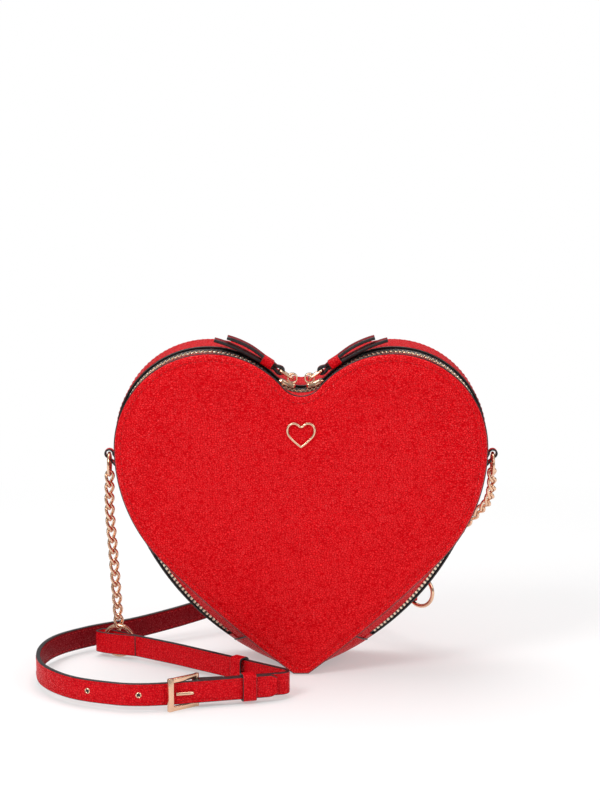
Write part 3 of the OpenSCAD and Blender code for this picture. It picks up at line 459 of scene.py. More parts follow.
def metal(name, lo, hi, rough=(0.13, 0.3)):
    """Plated metal with faint smears, fine pits and a little tarnish in its tone."""
    m = Material(name)
    v = m.coords()
    smear, pits = m.noise(v, 144, 4.0, 0.6), m.noise(v, 2700)
    return m.set(
        Base_Color=m.ramp(smear, [(0.25, lo), (0.75, hi)]),
        Roughness=m.ramp(smear, [(0.3, rough[0]), (0.8, rough[1])]),
        Normal=m.bump(pits, 0.06, 0.00006, m.bump(smear, 0.05, 0.0003)), Metallic=1.0)


def weave(name, lo, hi, pitch, strength):
    """Woven cloth: crossing sets of threads with their pitch in mm."""
    m = Material(name)
    v = m.coords()
    wave = {"Scale": 1000 / pitch / 6.2832 * 2, "Distortion": 0.5, "Detail": 1.0, "Vector": v}
    x, y, z = [m.new("TexWave", wave, wave_type="BANDS", bands_direction=axis).outputs["Fac"]
               for axis in "XYZ"]
    h = m.math("MULTIPLY", m.math("ADD", x, y), m.math("ADD", z, 0.35))
    f = m.total((h, 0.35), (m.noise(v, 60, 3.0), 0.5), clamp=True)
    return m.set(Base_Color=m.ramp(f, [(0.2, lo), (0.85, hi)]), Normal=m.bump(h, strength, 0.00018),
                 Roughness=0.85, Sheen_Weight=0.25, Sheen_Roughness=0.5)


# The light colours are painted highlights on the pebble tops.
red = leather("red_leather_pebbled", (0.58, 0.0014, 0.005), (0.88, 0.003, 0.009), grain=0.6,
              light=(1.0, 0.010, 0.015))
red_fine = leather("red_leather_fine", (0.50, 0.0012, 0.006), (0.76, 0.004, 0.011), 760, 0.45,
                   stretch=(1, 1, 1), gloss=(0.04, 0.3), light=(0.82, 0.012, 0.018))
red_back = leather("red_leather_flesh", (0.30, 0.006, 0.010), (0.46, 0.010, 0.016), 1500, 0.15,
                   (0.6, 0.75))
red_dark = leather("red_leather_strap_back", (0.16, 0.004, 0.008), (0.27, 0.006, 0.012), 980, 0.22,
                   (0.45, 0.6), (1, 1, 1))
edge = paint("black_edge_paint", (0.013, 0.011, 0.012), 0.38)
red_thread = thread("red_thread", (0.38, 0.006, 0.009), (0.68, 0.018, 0.022))
gold = metal("rose_gold", (0.78, 0.47, 0.31), (0.93, 0.63, 0.44))
gold_teeth = metal("pale_gold_teeth", (0.80, 0.62, 0.46), (0.95, 0.80, 0.63), (0.2, 0.36))
tape = weave("black_zip_tape", (0.006, 0.005, 0.006), (0.035, 0.03, 0.033), 0.5, 0.6)
cloth = weave("lining_cloth", (0.045, 0.036, 0.034), (0.12, 0.10, 0.092), 0.45, 0.35)
lining_thread = thread("lining_thread", (0.1, 0.08, 0.075), (0.22, 0.19, 0.17))


def place(ob, body, *nodes):
    """Puts a piece on its body, in place of CAD nodes."""
    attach(ob, body)
    if nodes:
        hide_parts(*nodes)


def sew(name, lines, kind, body, mat=red_thread):
    place(stitches(name, lines, mat, kind), body)


# ---- bag shell
def distance_to(points, loop):
    best = np.full(len(points), 1e9)
    for a, d in zip(loop, np.roll(loop, -1, 0) - loop):
        f = np.clip(((points - a) @ d) / (d @ d + 1e-12), 0, 1)
        best = np.minimum(best, np.linalg.norm(points - a - f[:, None] * d, axis=1))
    return best


def face_panel(name, rows, way, crown, seed):
    """Padded face: rows of the outline, then a field of points over its middle."""
    step, soft, flat = 4.2, 16.0, 14
    last = outline(rows[-1][0], *rows[-1][2:])
    inner = np.array([[x + (step / 2 if r % 2 else 0), z]
                      for r, z in enumerate(np.arange(4, 190, step * 0.87))
                      for x in np.arange(-100, 100.1, step)])
    turns = np.zeros(len(inner))
    for i in range(len(last)):
        a, b = last[i] - inner, last[(i + 1) % len(last)] - inner
        turns += np.arctan2(a[:, 0] * b[:, 1] - a[:, 1] * b[:, 0], (a * b).sum(1))
    inner = inner[np.abs(turns) > math.pi]
    inner = inner[distance_to(inner, last) > step * 0.55]
    loop = [[i, (i + 1) % len(last)] for i in range(len(last))]
    field = delaunay_2d_cdt([Vector(p) for p in np.concatenate([last, inner])], loop, [], 1, 1e-6)
    d = distance_to(inner, last)
    # Slow waves in the padding.
    r = np.random.default_rng(seed)
    wave = np.zeros(len(inner))
    for _ in range(7):
        k = r.uniform(-1, 1, 2) * 0.075
        wave += r.uniform(0.02, 0.07) * np.sin(inner @ k + r.uniform(0, 6.28))
    up = crown * (1 - np.exp(-d / soft)) + wave * np.clip(d / flat, 0, 1)
    base = (len(rows) - 1) * N
    faces = skin(len(rows), N, False, True) + [[base + q for q in f] for f in field[2]]
    verts = [rings_of(rows).reshape(-1, 3), at_depth(inner, rows[-1][1] + way * up)]
    return add_mesh(name, np.concatenate(verts), faces, [red], sharp=60)


def seam_line(inset, y, pick=None, f=0.0):
    """Line at one inset and depth, over a part of the outline or closed."""
    o = outline(inset, f)
    return at_depth(np.concatenate([o, o[:1]]) if pick is None else o[pick], y)


def edge_normals(inset, pick, f=0.0):
    return at_depth(unit(outline(inset, f)[pick] - outline(inset + 1, f)[pick]), 0)


# Rows of a section: inset, depth and share of the front's form.
front_rows = [(inset, y, 1.0) for inset, y in (
    (1.6, -26.9), (1.1, -27.3), (0.9, -27.75), (0.84, -28.3), (0.95, -29.0), (1.3, -29.75), (1.9, -30.4),
    (2.7, -30.85), (3.5, -31.0), (4.0, -30.98), (4.35, -30.8), (4.7, -30.86), (5.2, -31.15), (6.0, -31.55),
    (7.2, -32.0), (8.8, -32.4), (10.8, -32.68), (13.1, -32.84))]
front = face_panel("front_leather", front_rows, -1, crown=0.75, seed=3)
place(front, "front", "front_panel", "front_pad", "front_board")
line = seam_line(4.35, -30.84, f=1.0)
sew("front_stitching", [(line, (0, -1, 0))], PANEL_SEW, "front")

strip_rows = [
    (1.3, -27.7, 1.0), (0.85, -27.3, 0.98), (0.75, -26.6, 0.92), (0.95, -25.4, 0.80), (1.35, -23.6, 0.63),
    (1.8, -21.8, 0.47), (2.15, -20.4, 0.34), (2.45, -19.0, 0.24), (2.55, -18.1, 0.2), (2.7, -17.45, 0.2),
    (3.05, -17.05, 0.2), (3.5, -17.0, 0.2), (3.9, -17.2, 0.2), (4.05, -18.0, 0.2), (3.95, -19.2, 0.24),
    (3.3, -21.8, 0.47), (2.5, -24.6, 0.75), (2.2, -27.0, 0.96), (1.9, -27.6, 1.0)]
# Sides of a section: 0 fine leather, 1 flesh side, 2 painted edge.
SHELL = [red_fine, red_back, edge]
sides = [0] * 8 + [2] * 4 + [1] * 6 + [0]
ob = loft("front_strip_leather", along(strip_rows, OPEN), SHELL, section_mat=sides)
place(ob, "front", "front_strip")
# Painted shade: a thin black tube along the seam between the front panel and its strip stands for the shadow
# in that seam.
seam_shade_path = at_depth(outline(0.78, 1.0), -27.62)
place(tube("front_seam_painted_shade", seam_shade_path, 0.52, edge, closed=True, sides=6), "front")
lines = [(seam_line(2.34, -19.3, OPEN, 0.26), edge_normals(2.3, OPEN, 0.26))]
sew("front_strip_stitching", lines, EDGE_SEW, "front")

gusset_rows = [
    (1.35, -8.7), (0.95, -8.95), (0.45, -8.9), (0.12, -8.55), (0.0, -7.8), (-0.02, -4), (0.0, 4), (0.02, 14),
    (0.0, 22.0), (0.05, 25.0), (0.3, 26.6), (0.75, 27.5), (1.2, 27.9), (1.55, 27.6), (1.6, 26.5), (1.6, 10),
    (1.6, -4), (1.5, -8.0)]
sides = [2] * 3 + [0] * 11 + [1] * 3 + [2]
ob = loft("gusset_leather", along(gusset_rows, OPEN), SHELL, section_mat=sides)
place(ob, "bag", "main_gusset")
lines = [(seam_line(0.0, y, OPEN), edge_normals(0, OPEN)) for y in (-6.6, 23.4)]
sew("gusset_stitching", lines, EDGE_SEW, "bag")

# Base piece under the tip, round the flat, with its ends folded over at both seams.
base_rows = [
    (1.3, -27.6, 1.0), (0.8, -27.2, 0.97), (0.7, -25.4, 0.83), (0.9, -23.6, 0.66), (1.1, -21.8, 0.5),
    (1.2, -19.0, 0.28), (0.9, -14.0, 0.15), (-0.03, -9.0), (-0.03, 0), (-0.03, 20), (0.05, 25.0), (0.3, 26.6),
    (0.8, 27.6), (1.4, 27.8), (1.6, 26.5), (1.6, -9.0), (2.6, -14.0, 0.15), (2.9, -19.0, 0.28),
    (2.4, -24.6, 0.77), (2.2, -27.2, 0.98)]
sides = [0] * 14 + [1] * 6
ob = loft("base_leather", along(base_rows, FLAT), [red_fine, red_back], section_mat=sides)
place(ob, "bag", "base_gusset")

back_rows = [
    (1.9, 26.8), (1.3, 27.2), (1.1, 27.8), (1.05, 28.4), (1.25, 29.2), (1.8, 29.9), (2.7, 30.5), (3.7, 30.8),
    (4.5, 30.84), (4.9, 30.66), (5.3, 30.8), (6.2, 31.1), (7.6, 31.45), (9.6, 31.7), (12.2, 31.85),
    (14.5, 31.9)]
back = face_panel("back_leather", back_rows, 1, crown=0.05, seed=5)
for f in back.data.polygons:
    f.flip()
place(back, "bag", "back_panel", "back_pad", "back_board")
sew("back_stitching", [(seam_line(4.9, 30.7), (0, 1, 0))], PANEL_SEW, "bag")


# ---- lining
def plate(name, inset, y0, y1, f):
    """Cloth over a whole side, from its outer to its inner face."""
    rows = ((0.5, 0), (0, 0.25), (0, 0.75), (0.5, 1), (8, 1), (20, 1))
    return loft(name, rings_of([(inset + more, y0 + (y1 - y0) * k, f) for more, k in rows]), cloth)


place(plate("front_lining_cloth", 2.5, -26.75, -26.0, 1.0), "front", "front_lining")
place(plate("back_lining_cloth", 1.7, 26.75, 26.0, 0.0), "bag", "back_lining")
rows = ((1.66, -1.0), (1.66, 12), (1.66, 25.9), (2.3, 25.9), (2.45, 18), (2.35, 8), (2.45, 0), (2.2, -1.0))
place(loft("gusset_lining_cloth", along(rows), cloth, wrap_p=True), "bag", "gusset_lining")
pocket_w, pocket_h, pocket_z = BODY_W * 0.42, BODY_W * 0.28, LOBE_Z * 0.4
prof = round_rect(pocket_w, pocket_h, 3.5, 6)
rings = [at_depth(prof * k + [0, pocket_z + pocket_h / 2], y)
         for y, k in ((26.0, 1.0), (25.45, 1.0), (25.25, 0.985))]
place(loft("slip_pocket_cloth", rings, cloth), "bag", "slip_pocket")
SEW_Y = 25.3
hem_x = pocket_w / 2 - 1.5
hem = [[x, SEW_Y, pocket_z + pocket_h - 7] for x in np.linspace(-hem_x, hem_x, 60)]
side = [[-pocket_w / 2 + 2.2, SEW_Y, z] for z in np.linspace(pocket_z + 3, pocket_z + pocket_h - 2, 40)]
lines = [(p, (0, -1, 0)) for p in (hem, side, mirrored(side, -1))]
sew("pocket_stitching", lines, POCKET_SEW, "bag", lining_thread)

# ---- zip
# The zip's ends lie a little over the seams of the base piece.
T0 = max(int(np.argmax(half_outline(1.0)[:, 1] > half_outline(0)[SEAM][1] + 2.0)), SEAM + 2)
ZIP = slice(T0, N - T0)
TAPES = {
    "front": ((4.1, -21.4, 0.45), (4.1, -17.6, 0.2), (3.3, -16.3, 0.2), (3.8, -16.2, 0.2), (4.6, -17.6, 0.2),
              (4.6, -21.4, 0.45)),
    "rear": ((2.2, -12.1, 0.1), (1.9, -9.6, 0.02), (1.68, -8.4), (1.68, -1.1), (2.2, -1.1), (2.2, -8.4),
             (2.4, -9.6, 0.02), (2.8, -12.1, 0.1))}
ROWS = (("front", "front"), ("rear", "bag"))
for nm, body in ROWS:
    place(loft(f"zip_tape_{nm}_cloth", along(TAPES[nm], ZIP), tape), body, "zip_tape_" + nm)
# Cords along both tapes that the teeth clasp.
for (nm, body), (inset, y, f) in zip(ROWS, ((3.0, -16.15, 0.2), (2.6, -12.25, 0.1))):
    place(tube("zip_cord_" + nm, seam_line(inset, y, ZIP, f), 0.62, tape, sides=8), body)

# Outline of a tooth, across and out from its tape, and its layers: lift and scale.
TOOTH = np.array([(-0.5, 0), (-0.5, 1.5), (-0.78, 1.95), (-0.78, 2.45), (-0.42, 2.8),
                  (0.42, 2.8), (0.78, 2.45), (0.78, 1.95), (0.5, 1.5), (0.5, 0)])
TOOTH_LAYERS = ((-1.05, 0.86), (-0.8, 1.0), (0.72, 1.0), (0.98, 0.8))
TOOTH_PITCH = 2.55


def teeth(name, y0, way, shift, inset, share):
    base, top = outline(inset, share)[ZIP], outline(inset - 1, share)[ZIP]
    r = runs(base)
    half, end = r[-1] / 2, 0.55 * TOOTH_PITCH
    n = int(half / TOOTH_PITCH)
    blocks = []
    for s in [half + (i + shift) * TOOTH_PITCH for i in range(-n - 1, n + 1)]:
        if not end < s < 2 * half - end:
            continue
        p = at(base, r, s)
        up = unit(at(top, r, s) - p)
        t = np.array([up[1], -up[0]])
        blocks.append([
            at_depth(p + up * lift + TOOTH[:, :1] * k * t,
                     y0 + way * (TOOTH[:, 1] if k == 1.0 else 0.12 + TOOTH[:, 1] * 0.93))
            for lift, k in TOOTH_LAYERS])
    return pile(name, blocks, gold_teeth, 35)


place(teeth("zip_teeth_front_metal", -16.7, 1, 0.0, 2.85, 0.18), "front", "zip_teeth_front")
place(teeth("zip_teeth_rear_metal", -11.7, -1, 0.5, 2.6, 0.1), "bag", "zip_teeth_rear")

# Leather ends of the zip.
end_rows = ((3.2, -16.6, 0.2), (1.9, -16.7, 0.2), (1.5, -16.3, 0.2), (1.2, -15.5, 0.18), (0.3, -10.2, 0.05),
            (0.25, -9.5, 0.03), (0.5, -9.15, 0.02), (1.9, -9.2, 0.02))
for sgn, nm in SIDES:
    rings = mirrored(along(end_rows, slice(SEAM, T0 + 1)), sgn)
    place(loft(nm + "_zip_end_leather", rings, [red_fine, edge], cap_mat=1), "bag", nm + "_zip_end")

# Seam folds where gusset and zip ends meet the base piece.
fold_rows = ((0.7, -27.0, 0.95), (0.6, -25.4, 0.83), (1.0, -21.8, 0.5), (1.1, -19.0, 0.28),
             (0.8, -14.0, 0.15), (-0.12, -9.0), (-0.15, 0), (-0.15, 20), (0.1, 25.6))
for sgn, nm in SIDES:
    path = resample(mirrored(rings_of(fold_rows, [SEAM])[:, 0], sgn), 2.0)
    place(tube(nm + "_base_seam", path, 0.42, edge, sides=8, up=(0, 0, 1)), "bag")

# ---- emblem: a plain open heart
EMBLEM_W, RIM = 17.0, 1.36
scale = EMBLEM_W / BODY_W
rows = ((0.0, -33.2), (0.0, -34.05), (0.18, -34.4), (0.5, -34.55), (RIM - 0.5, -34.55), (RIM - 0.18, -34.4),
        (RIM, -34.05), (RIM, -33.2))
rings = np.array([at_depth(outline(inset / scale, 1.0)[::2] * scale + [0, LOBE_Z - EMBLEM_W * 0.1], y)
                  for inset, y in rows])
place(loft("emblem_metal", rings.transpose(1, 0, 2), gold, wrap_p=True, sharp=60), "front", "emblem")

# ---- sliders and pulls
SLIDE_X0, SLIDE_L, SLIDE_Y = 3.0, 9.5, -13.3
BAIL_R, BRIDGE_W = 3.2, 3.2
RING_L, PULL_X, PULL_L, PULL_W, PULL_T = 8.5, 5.0, 51, 10.0, 1.9
PLATE_T, PLATE_W, PLATE_RISE = 1.6, 3.25, 1.35
slider_low = PLATE_T * 0.55 - 0.3
pull_z = cleft_z - math.sqrt((CLEFT_R + slider_low - PLATE_T) ** 2 - PULL_X ** 2) + BAIL_R - 0.3
# The pulls lie on the lobes and hang down along them past DROOP_X.
rest_r = LOBE_R + 2.8
DROOP_X, DROOP = 25.6, 0.8
to_lobe = (lobe_x - PULL_X, LOBE_Z - pull_z)
PULL_RISE = math.asin(rest_r / math.hypot(*to_lobe)) + math.atan2(to_lobe[1], to_lobe[0])


def slider_plate(name, sgn):
    """Shield shaped top plate that follows the cleft, with rolled sides."""
    rr = []
    for f in np.arange(23) / 22:
        x = SLIDE_X0 + 0.1 + (SLIDE_L - 0.2) * f
        z = cleft_z - math.sqrt(CLEFT_R ** 2 - x ** 2)
        n = unit(np.array([-x, cleft_z - z]))
        end = min(f, 1 - f) * SLIDE_L
        w = PLATE_W * (1 - 0.28 * max(0, 1 - end / 2.2) ** 2) * (1.0 - 0.16 * math.sin(math.pi * f) ** 2)
        thick = PLATE_RISE * (1 - 0.5 * max(0, 1 - end / 1.2) ** 2)
        sec = ((-w, -0.55), (-w, 0.35), (-w + 0.35, 0.85), (-w * 0.5, 0.95), (0, 1.0), (w * 0.5, 0.95),
               (w - 0.35, 0.85), (w, 0.35), (w, -1.5), (w - 0.5, -1.5), (w - 0.5, -0.25), (0, -0.1),
               (-w + 0.5, -0.15), (-w + 0.5, -0.55))
        out = [(v, h * thick - 0.1) for v, h in sec]
        rr.append([[x + n[0] * h, SLIDE_Y + v, z + n[1] * h] for v, h in out])
    return loft(name, mirrored(rr, sgn), gold, sharp=40)


def pull_frame(p, sgn):
    """From the pull's own axes to the world."""
    p = np.asarray(p, float)
    c, s = math.cos(PULL_RISE), math.sin(PULL_RISE)
    x = PULL_X + p[..., 0] * c - p[..., 2] * s
    z = pull_z + p[..., 0] * s + p[..., 2] * c
    return np.stack([x * sgn, SLIDE_Y + p[..., 1], z], -1)


def pull_path():
    """One strip folded round the ring's bar: out along one layer and back along the other."""
    length = PULL_L - RING_L - 1.0
    upper = [[RING_L + x, 0, z] for x, z in (
        (length - 5.5, 1.9), (length * 0.76, 2.1), (length * 0.64, 2.2), (length * 0.5, 2.15),
        (length * 0.36, 1.8), (9.5, 1.3), (5.0, 1.05), (3.0, 1.05), (1.6, 1.55), (0.0, 1.85), (-1.3, 1.3),
        (-1.85, 0))]
    lower = [[x, 0, -z * (0.9 if x > RING_L + 9 else 1.0)] for x, _, z in upper[-2::-1]]
    lower[-1][0] += 5.5
    path = smooth_path(upper + lower, 7)
    path[:, 2] -= np.clip(path[:, 0] - DROOP_X, 0, None) ** 2 / (2 * rest_r) * DROOP
    return path


def swept_round(prof, sec):
    """Rings of a section (along, outward) swept round a closed profile."""
    t = tangents(prof, True)
    out = np.stack([t[:, 1], -t[:, 0]], 1)
    return np.array([[[u, *(p + n * h)] for u, h in sec] for p, n in zip(prof, out)])


path = pull_path()
i = np.arange(len(path))
tip = np.minimum(i, i[::-1])
half_w = 1.6 + (PULL_W / 2 - 1.6) * ease((path[:, 0] - RING_L - 2.8) / 3.4)
half_w *= 1 - 0.12 * np.clip(1 - tip / 4, 0, None) ** 2
strip, strip_n, strip_mats = bent_strip(path, half_w, PULL_T, 0.5)
SEWN = slice(2, 34)
BAND_X, BAND_W = RING_L + 5.4, 7.2
band_sec = round_rect(BAND_W, 0.75, 0.25, 2)
band_mats = as_ints(cut_sides(band_sec, 0, BAND_W / 2 - 0.22))
band = swept_round(round_rect(4.3, PULL_W + 0.9, 1.3, 5), band_sec)[..., [0, 2, 1]]
band += [BAND_X + BAND_W / 2, 0, 0]
bail = round_rect(1.2, BRIDGE_W, 0.42, 3) + [BAIL_R - 0.6, 0]
ring_path = at_depth(round_rect(RING_L + 0.2, 5.3, 1.9, 7) + [RING_L / 2, 0], 0)[:, [0, 2, 1]]
for sgn, nm in SIDES:
    on = nm + "_slider_body"
    place(slider_plate(nm + "_slider_plate", sgn), on, nm + "_slider")
    axes = ((sgn, 0, 0), (0, 0, 1), (0, 1, 0))
    place(revolve(nm + "_slider_bridge", (sgn * PULL_X, SLIDE_Y, pull_z), axes, bail, 40, gold, sharp=60), on)
    up = (-math.sin(PULL_RISE) * sgn, 0, math.cos(PULL_RISE))
    ob = tube(nm + "_pull_ring_wire", pull_frame(ring_path, sgn), 0.92, gold, closed=True, up=up)
    place(ob, nm + "_pull_ring_body", nm + "_pull_ring")
    on = nm + "_pull_body"
    ob = loft(nm + "_pull_leather", pull_frame(strip, sgn), [red_dark, edge], section_mat=strip_mats,
              cap_mat=1, sharp=45)
    place(ob, on, nm + "_pull")
    lines = []
    for y in (-3.7, 3.7):
        n = strip_n[SEWN]
        p = path[SEWN] + n * 0.96 + [0, y, 0]
        lines.append((pull_frame(p, sgn), pull_frame(p + n, sgn) - pull_frame(p, sgn)))
    sew(nm + "_pull_stitching", lines, PULL_SEW, on)
    ob = loft(nm + "_pull_band_leather", pull_frame(band, sgn), [red_fine, edge], wrap_p=True,
              section_mat=band_mats, sharp=45)
    place(ob, on, nm + "_pull_band")

# ---- tabs and side rings
TAB_T, LOOP_R, HOLE_R = 2.2, 3.0, 1.7
RING_R, RING_WIRE = 6.5, 2.0
ring_z = LOBE_Z - 17
loop_z = ring_z + RING_R
loop_x = BODY_W / 2 + TAB_T + HOLE_R + 2 * RUN_GAP


def side_run(inset, low, high):
    """The outline's outer side between two distances under the loop."""
    o = half_outline(inset)
    return o[(o[:, 0] > lobe_x) & (o[:, 1] > loop_z - low) & (o[:, 1] < loop_z - high)]


# The tab runs up the gusset, once round the ring and back down over itself.
r = (LOOP_R + HOLE_R) / 2
loop = [[loop_x + r * math.cos(rad(a)), loop_z + r * math.sin(rad(a))] for a in range(188, -66, -12)]
up, down = resample(side_run(-0.62, 26, 3.4), 1.5), resample(side_run(-1.75, 25, 5.0), 1.5)[::-1]
path = resample(smooth_path(at_depth(np.concatenate([up, loop, down]), 0), 3), 0.8)
half_w = 2.3 + 2.2 * ease((loop_z - 3.2 - path[:, 2]) / 3.0)
strip, _, strip_mats = bent_strip(path, half_w, 1.12, 0.3)
for sgn, nm in SIDES:
    ob = loft(nm + "_tab_leather", mirrored(strip, sgn), [red_fine, edge], section_mat=strip_mats,
              cap_mat=1, sharp=45)
    place(ob, "bag", nm + "_tab")
    o = side_run(-2.35, 24.5, 8)
    lines = [(mirrored(at_depth(o, y), sgn), (sgn, 0, -0.15)) for y in (-3.2, 3.2)]
    sew(nm + "_tab_stitching", lines, TAB_SEW, "bag")
    ob = torus(nm + "_side_ring_wire", (sgn * loop_x, 0, ring_z), RING_R, RING_WIRE, (1, 0, 0), gold)
    place(ob, "strap", nm + "_side_ring")

# ---- strap rings and chains
LINK_W, LINK_WIRE, LINK_N, SQUARENESS = 6.4, 1.9, 14, 2.6
STRAP_W, STRAP_T, STRAP_Z, STRAP_WIRE = 12.7, 2.4, 3.0, 2.4
ring_d = STRAP_Z + STRAP_W + RUN_GAP + LINK_WIRE + STRAP_WIRE
STRAP_RING_R = (ring_d - STRAP_WIRE) / 2
TURN, LEFT_A, RIGHT_A = 25.0, 141.0, -37.0


def of_width(*v):
    return np.array(v) * BODY_W


def on_side_ring(sgn, a):
    """Point on a side ring, at an angle from its lowest point."""
    return np.array([sgn * loop_x, RING_R * math.sin(rad(a)), ring_z - RING_R * math.cos(rad(a))])


left_c = np.array([*of_width(-0.5047, 0.0558), ring_d / 2])
right_c = of_width(0.3363, 0.1814, 0.1558)
start, end = on_side_ring(-1, 4), left_c + [0, 0, STRAP_RING_R]
bow = [start + (end - start) * f - [1.2 * k, 0, 0] for f, k in ((0.22, 1), (0.5, 0.6), (0.78, 0.2))]
left_route = smooth_path([start, *bow, end], 12)
lean, turned = rad(26), rad(RIGHT_A)
start = on_side_ring(1, 38)
end = right_c + STRAP_RING_R * np.array(
    [math.sin(lean) * math.cos(turned), math.sin(lean) * math.sin(turned), math.cos(lean)])
SAG = ((-0.01, 0.2, 0.151), (0.035, 0.457, 0.289), (0.176, 0.7, 0.399), (0.365, 0.871, 0.517),
       (0.59, 0.945, 0.655), (0.83, 0.9, 0.806))
right_route = smooth_path([start, *[start + (end - start) * f for f in SAG], end], 12)


def curb_chain(name, route, end_twist):
    """Twisted links that lie in one another, turned a quarter from link to link at their ends."""
    r = runs(route)
    total = r[-1]
    pitch = (total + (RING_WIRE + STRAP_WIRE) / 2) / LINK_N
    a, b = (pitch + LINK_WIRE + RUN_GAP) / 2, (LINK_W - LINK_WIRE) / 2
    first = a - (RING_WIRE + LINK_WIRE) / 2 - RUN_GAP / 2
    parts = []
    for i in range(LINK_N):
        s = first + i * pitch
        p = at(route, r, s)
        t = unit(at(route, r, min(s + pitch / 2, total)) - at(route, r, max(s - pitch / 2, 0)))
        side = unit(np.cross(t, [0, 1.0, 0]))
        nrm = np.cross(side, t)
        mid = rad(45 + end_twist * i / (LINK_N - 1))
        pts = []
        for u in turn_steps(32):
            cx, cy = math.cos(u), math.sin(u)
            e = (abs(cx) ** SQUARENESS + abs(cy) ** SQUARENESS) ** (-1 / SQUARENESS)
            x, y = a * cx * e, b * cy * e
            w = mid + rad(45) * max(-1, min(1, x / (a * 0.72)))
            pts.append(p + t * x + (side * math.cos(w) + nrm * math.sin(w)) * y)
        up = np.cross(t, side) * 0.3 + t
        parts.append(tube("link", pts, LINK_WIRE / 2 * 1.03, gold, closed=True, sides=10, up=up))
    return merge(name, parts)


place(curb_chain("left_chain_links", left_route, LEFT_A + TURN - 180), "strap", "left_chain")
place(curb_chain("right_chain_links", right_route, RIGHT_A), "strap", "right_chain")
for nm, c, a in (("left", left_c, LEFT_A + TURN), ("right", right_c, RIGHT_A)):
    nrm = (-math.sin(rad(a)), math.cos(rad(a)), 0)
    place(torus(nm + "_strap_ring_wire", c, STRAP_RING_R, STRAP_WIRE, nrm, gold), "strap", nm + "_strap_ring")


# ---- straps
def corner(a, b, c, r, n=16):
    """Points of a rounded corner at b, on the way from a to c."""
    u, v = unit(a - b), unit(c - b)
    half = math.acos(max(-1, min(1, float(u @ v)))) / 2
    if r <= 0 or math.degrees(half) > 89.5:
        return [b]
    cut = r / math.tan(half)
    o = b + unit(u + v) * (r / math.sin(half))
    s, e = b + u * cut - o, b + v * cut - o
    a0, a1 = math.atan2(s[1], s[0]), math.atan2(e[1], e[0])
    d = (a1 - a0 + math.pi) % (2 * math.pi) - math.pi
    return [o + r * np.array([math.cos(a0 + d * k / n), math.sin(a0 + d * k / n)]) for k in range(n + 1)]


def rounded(route):
    """Plan path through points that each carry the radius of their corner."""
    pts = [np.array(p[:2], float) for p in route]
    out = [pts[0]]
    for i in range(1, len(pts) - 1):
        out += corner(pts[i - 1], pts[i], pts[i + 1], route[i][2])
    return np.array(out + [pts[-1]])


def from_local(c, a, u, v):
    s, k = math.sin(rad(a)), math.cos(rad(a))
    return np.array([c[0] + u * k - v * s, c[1] + u * s + v * k])


LAY_T = STRAP_T / 2
LAY = LAY_T / 2
SEAM_U = -15.0
# The buckle's own axes: u along the strap and v across it, from the key point.
key = of_width(-0.1163, -0.4093)
KEY_A = 196.4
HINGE_U, PIN_R = 33.0, 1.3
hinge_v = -(STRAP_T / 2 + RUN_GAP + LAY_T + PIN_GAP + PIN_R)
under_v = -(STRAP_T + RUN_GAP)


def from_key(u, v):
    return from_local(key, KEY_A, u, v)


def plan(path, z):
    """A strap's points, its heights (z where the path has none) and its directions sideways."""
    p = np.asarray(path, float)
    t = tangents(p[:, :2])
    return p, p[:, 2] if p.shape[1] > 2 else np.full(len(p), z), np.stack([-t[:, 1], t[:, 0]], 1)


def strap_band(path, t, z, w, taper=None, inner_mat=red_fine):
    """Strap standing on edge along a plan path; its two cut edges are painted."""
    p, zz, s = plan(path, z)
    rr = []
    for i in range(len(p)):
        k = taper(i) if taper else 1.0
        sec = round_rect(t, w * k, min(0.42, t * 0.3), 3)
        rr.append([[*(p[i][:2] + s[i] * q[0]), zz[i] + w / 2 + q[1]] for q in sec])
    cut = cut_sides(sec, 1, w * k / 2 - 0.34)
    mats = [1 if c else 0 if q[0] > 0 else 2 for c, q in zip(cut, sec)]
    return loft("band", rr, [red_fine, edge, inner_mat], section_mat=mats, cap_mat=1, sharp=45)


def edge_lines(path, t, z, w, inset=1.75):
    """Lines for stitches along both edges of both faces of a strap."""
    p, zz, s = plan(path, z)
    flat = np.zeros(len(p))
    return [(np.column_stack([p[:, :2] + s * (f * t / 2), zz + h]), np.column_stack([s * f, flat]))
            for f in (1, -1) for h in (inset, w - inset)]


def seam_bead(name, xy, z):
    """Painted cut end of a folded layer, across the strap."""
    path = [[*xy, z + 0.4 + k] for k in np.linspace(0, STRAP_W - 0.8, 12)]
    place(tube(name, path, 0.36, edge, sides=8, up=(1, 0, 0)), "strap")


# Short strap: a loop round the left ring, the run to the buckle and a fold round its hinge bar.
loop_in = STRAP_RING_R * math.cos(rad(TURN)) + STRAP_WIRE / 2 + 2.4
loop_gap = STRAP_RING_R * math.sin(rad(TURN)) + STRAP_WIRE + RUN_GAP
left_loop = [(SEAM_U, 0, 0), (loop_in + LAY, 0, 2.4), (loop_in + LAY, loop_gap + LAY_T, 2.4),
             (loop_in * 0.3, loop_gap + LAY_T, 20), (SEAM_U - 0.4, LAY_T, 0)]
p = resample([from_local(left_c, LEFT_A, *q) for q in rounded(left_loop)], 0.8)
THIN_Z, THIN_W = STRAP_Z + 0.05, STRAP_W - 0.1
parts = [strap_band(p, LAY_T, THIN_Z, THIN_W)]
left_seam = from_local(left_c, LEFT_A, SEAM_U, LAY)
short_turn = from_key(-24.5, under_v)
bend = of_width(-0.3349, -0.0814)
short_end = from_key(HINGE_U - (PIN_R + PIN_GAP + LAY_T) * 0.7, under_v)
short_path = resample(rounded([(*left_seam, 0), (*bend, 260), (*short_turn, 5), (*short_end, 0)]), 1.2)
parts.append(strap_band(short_path, STRAP_T, STRAP_Z, STRAP_W))
fold_r = PIN_R + PIN_GAP + LAY
fold = [(HINGE_U - 5, hinge_v + fold_r - 0.1, 0), (HINGE_U + fold_r, hinge_v + fold_r, fold_r * 0.93),
        (HINGE_U + fold_r, hinge_v - fold_r, fold_r * 0.93),
        (HINGE_U - 15, under_v - STRAP_T / 2 - LAY + 0.1, 0)]
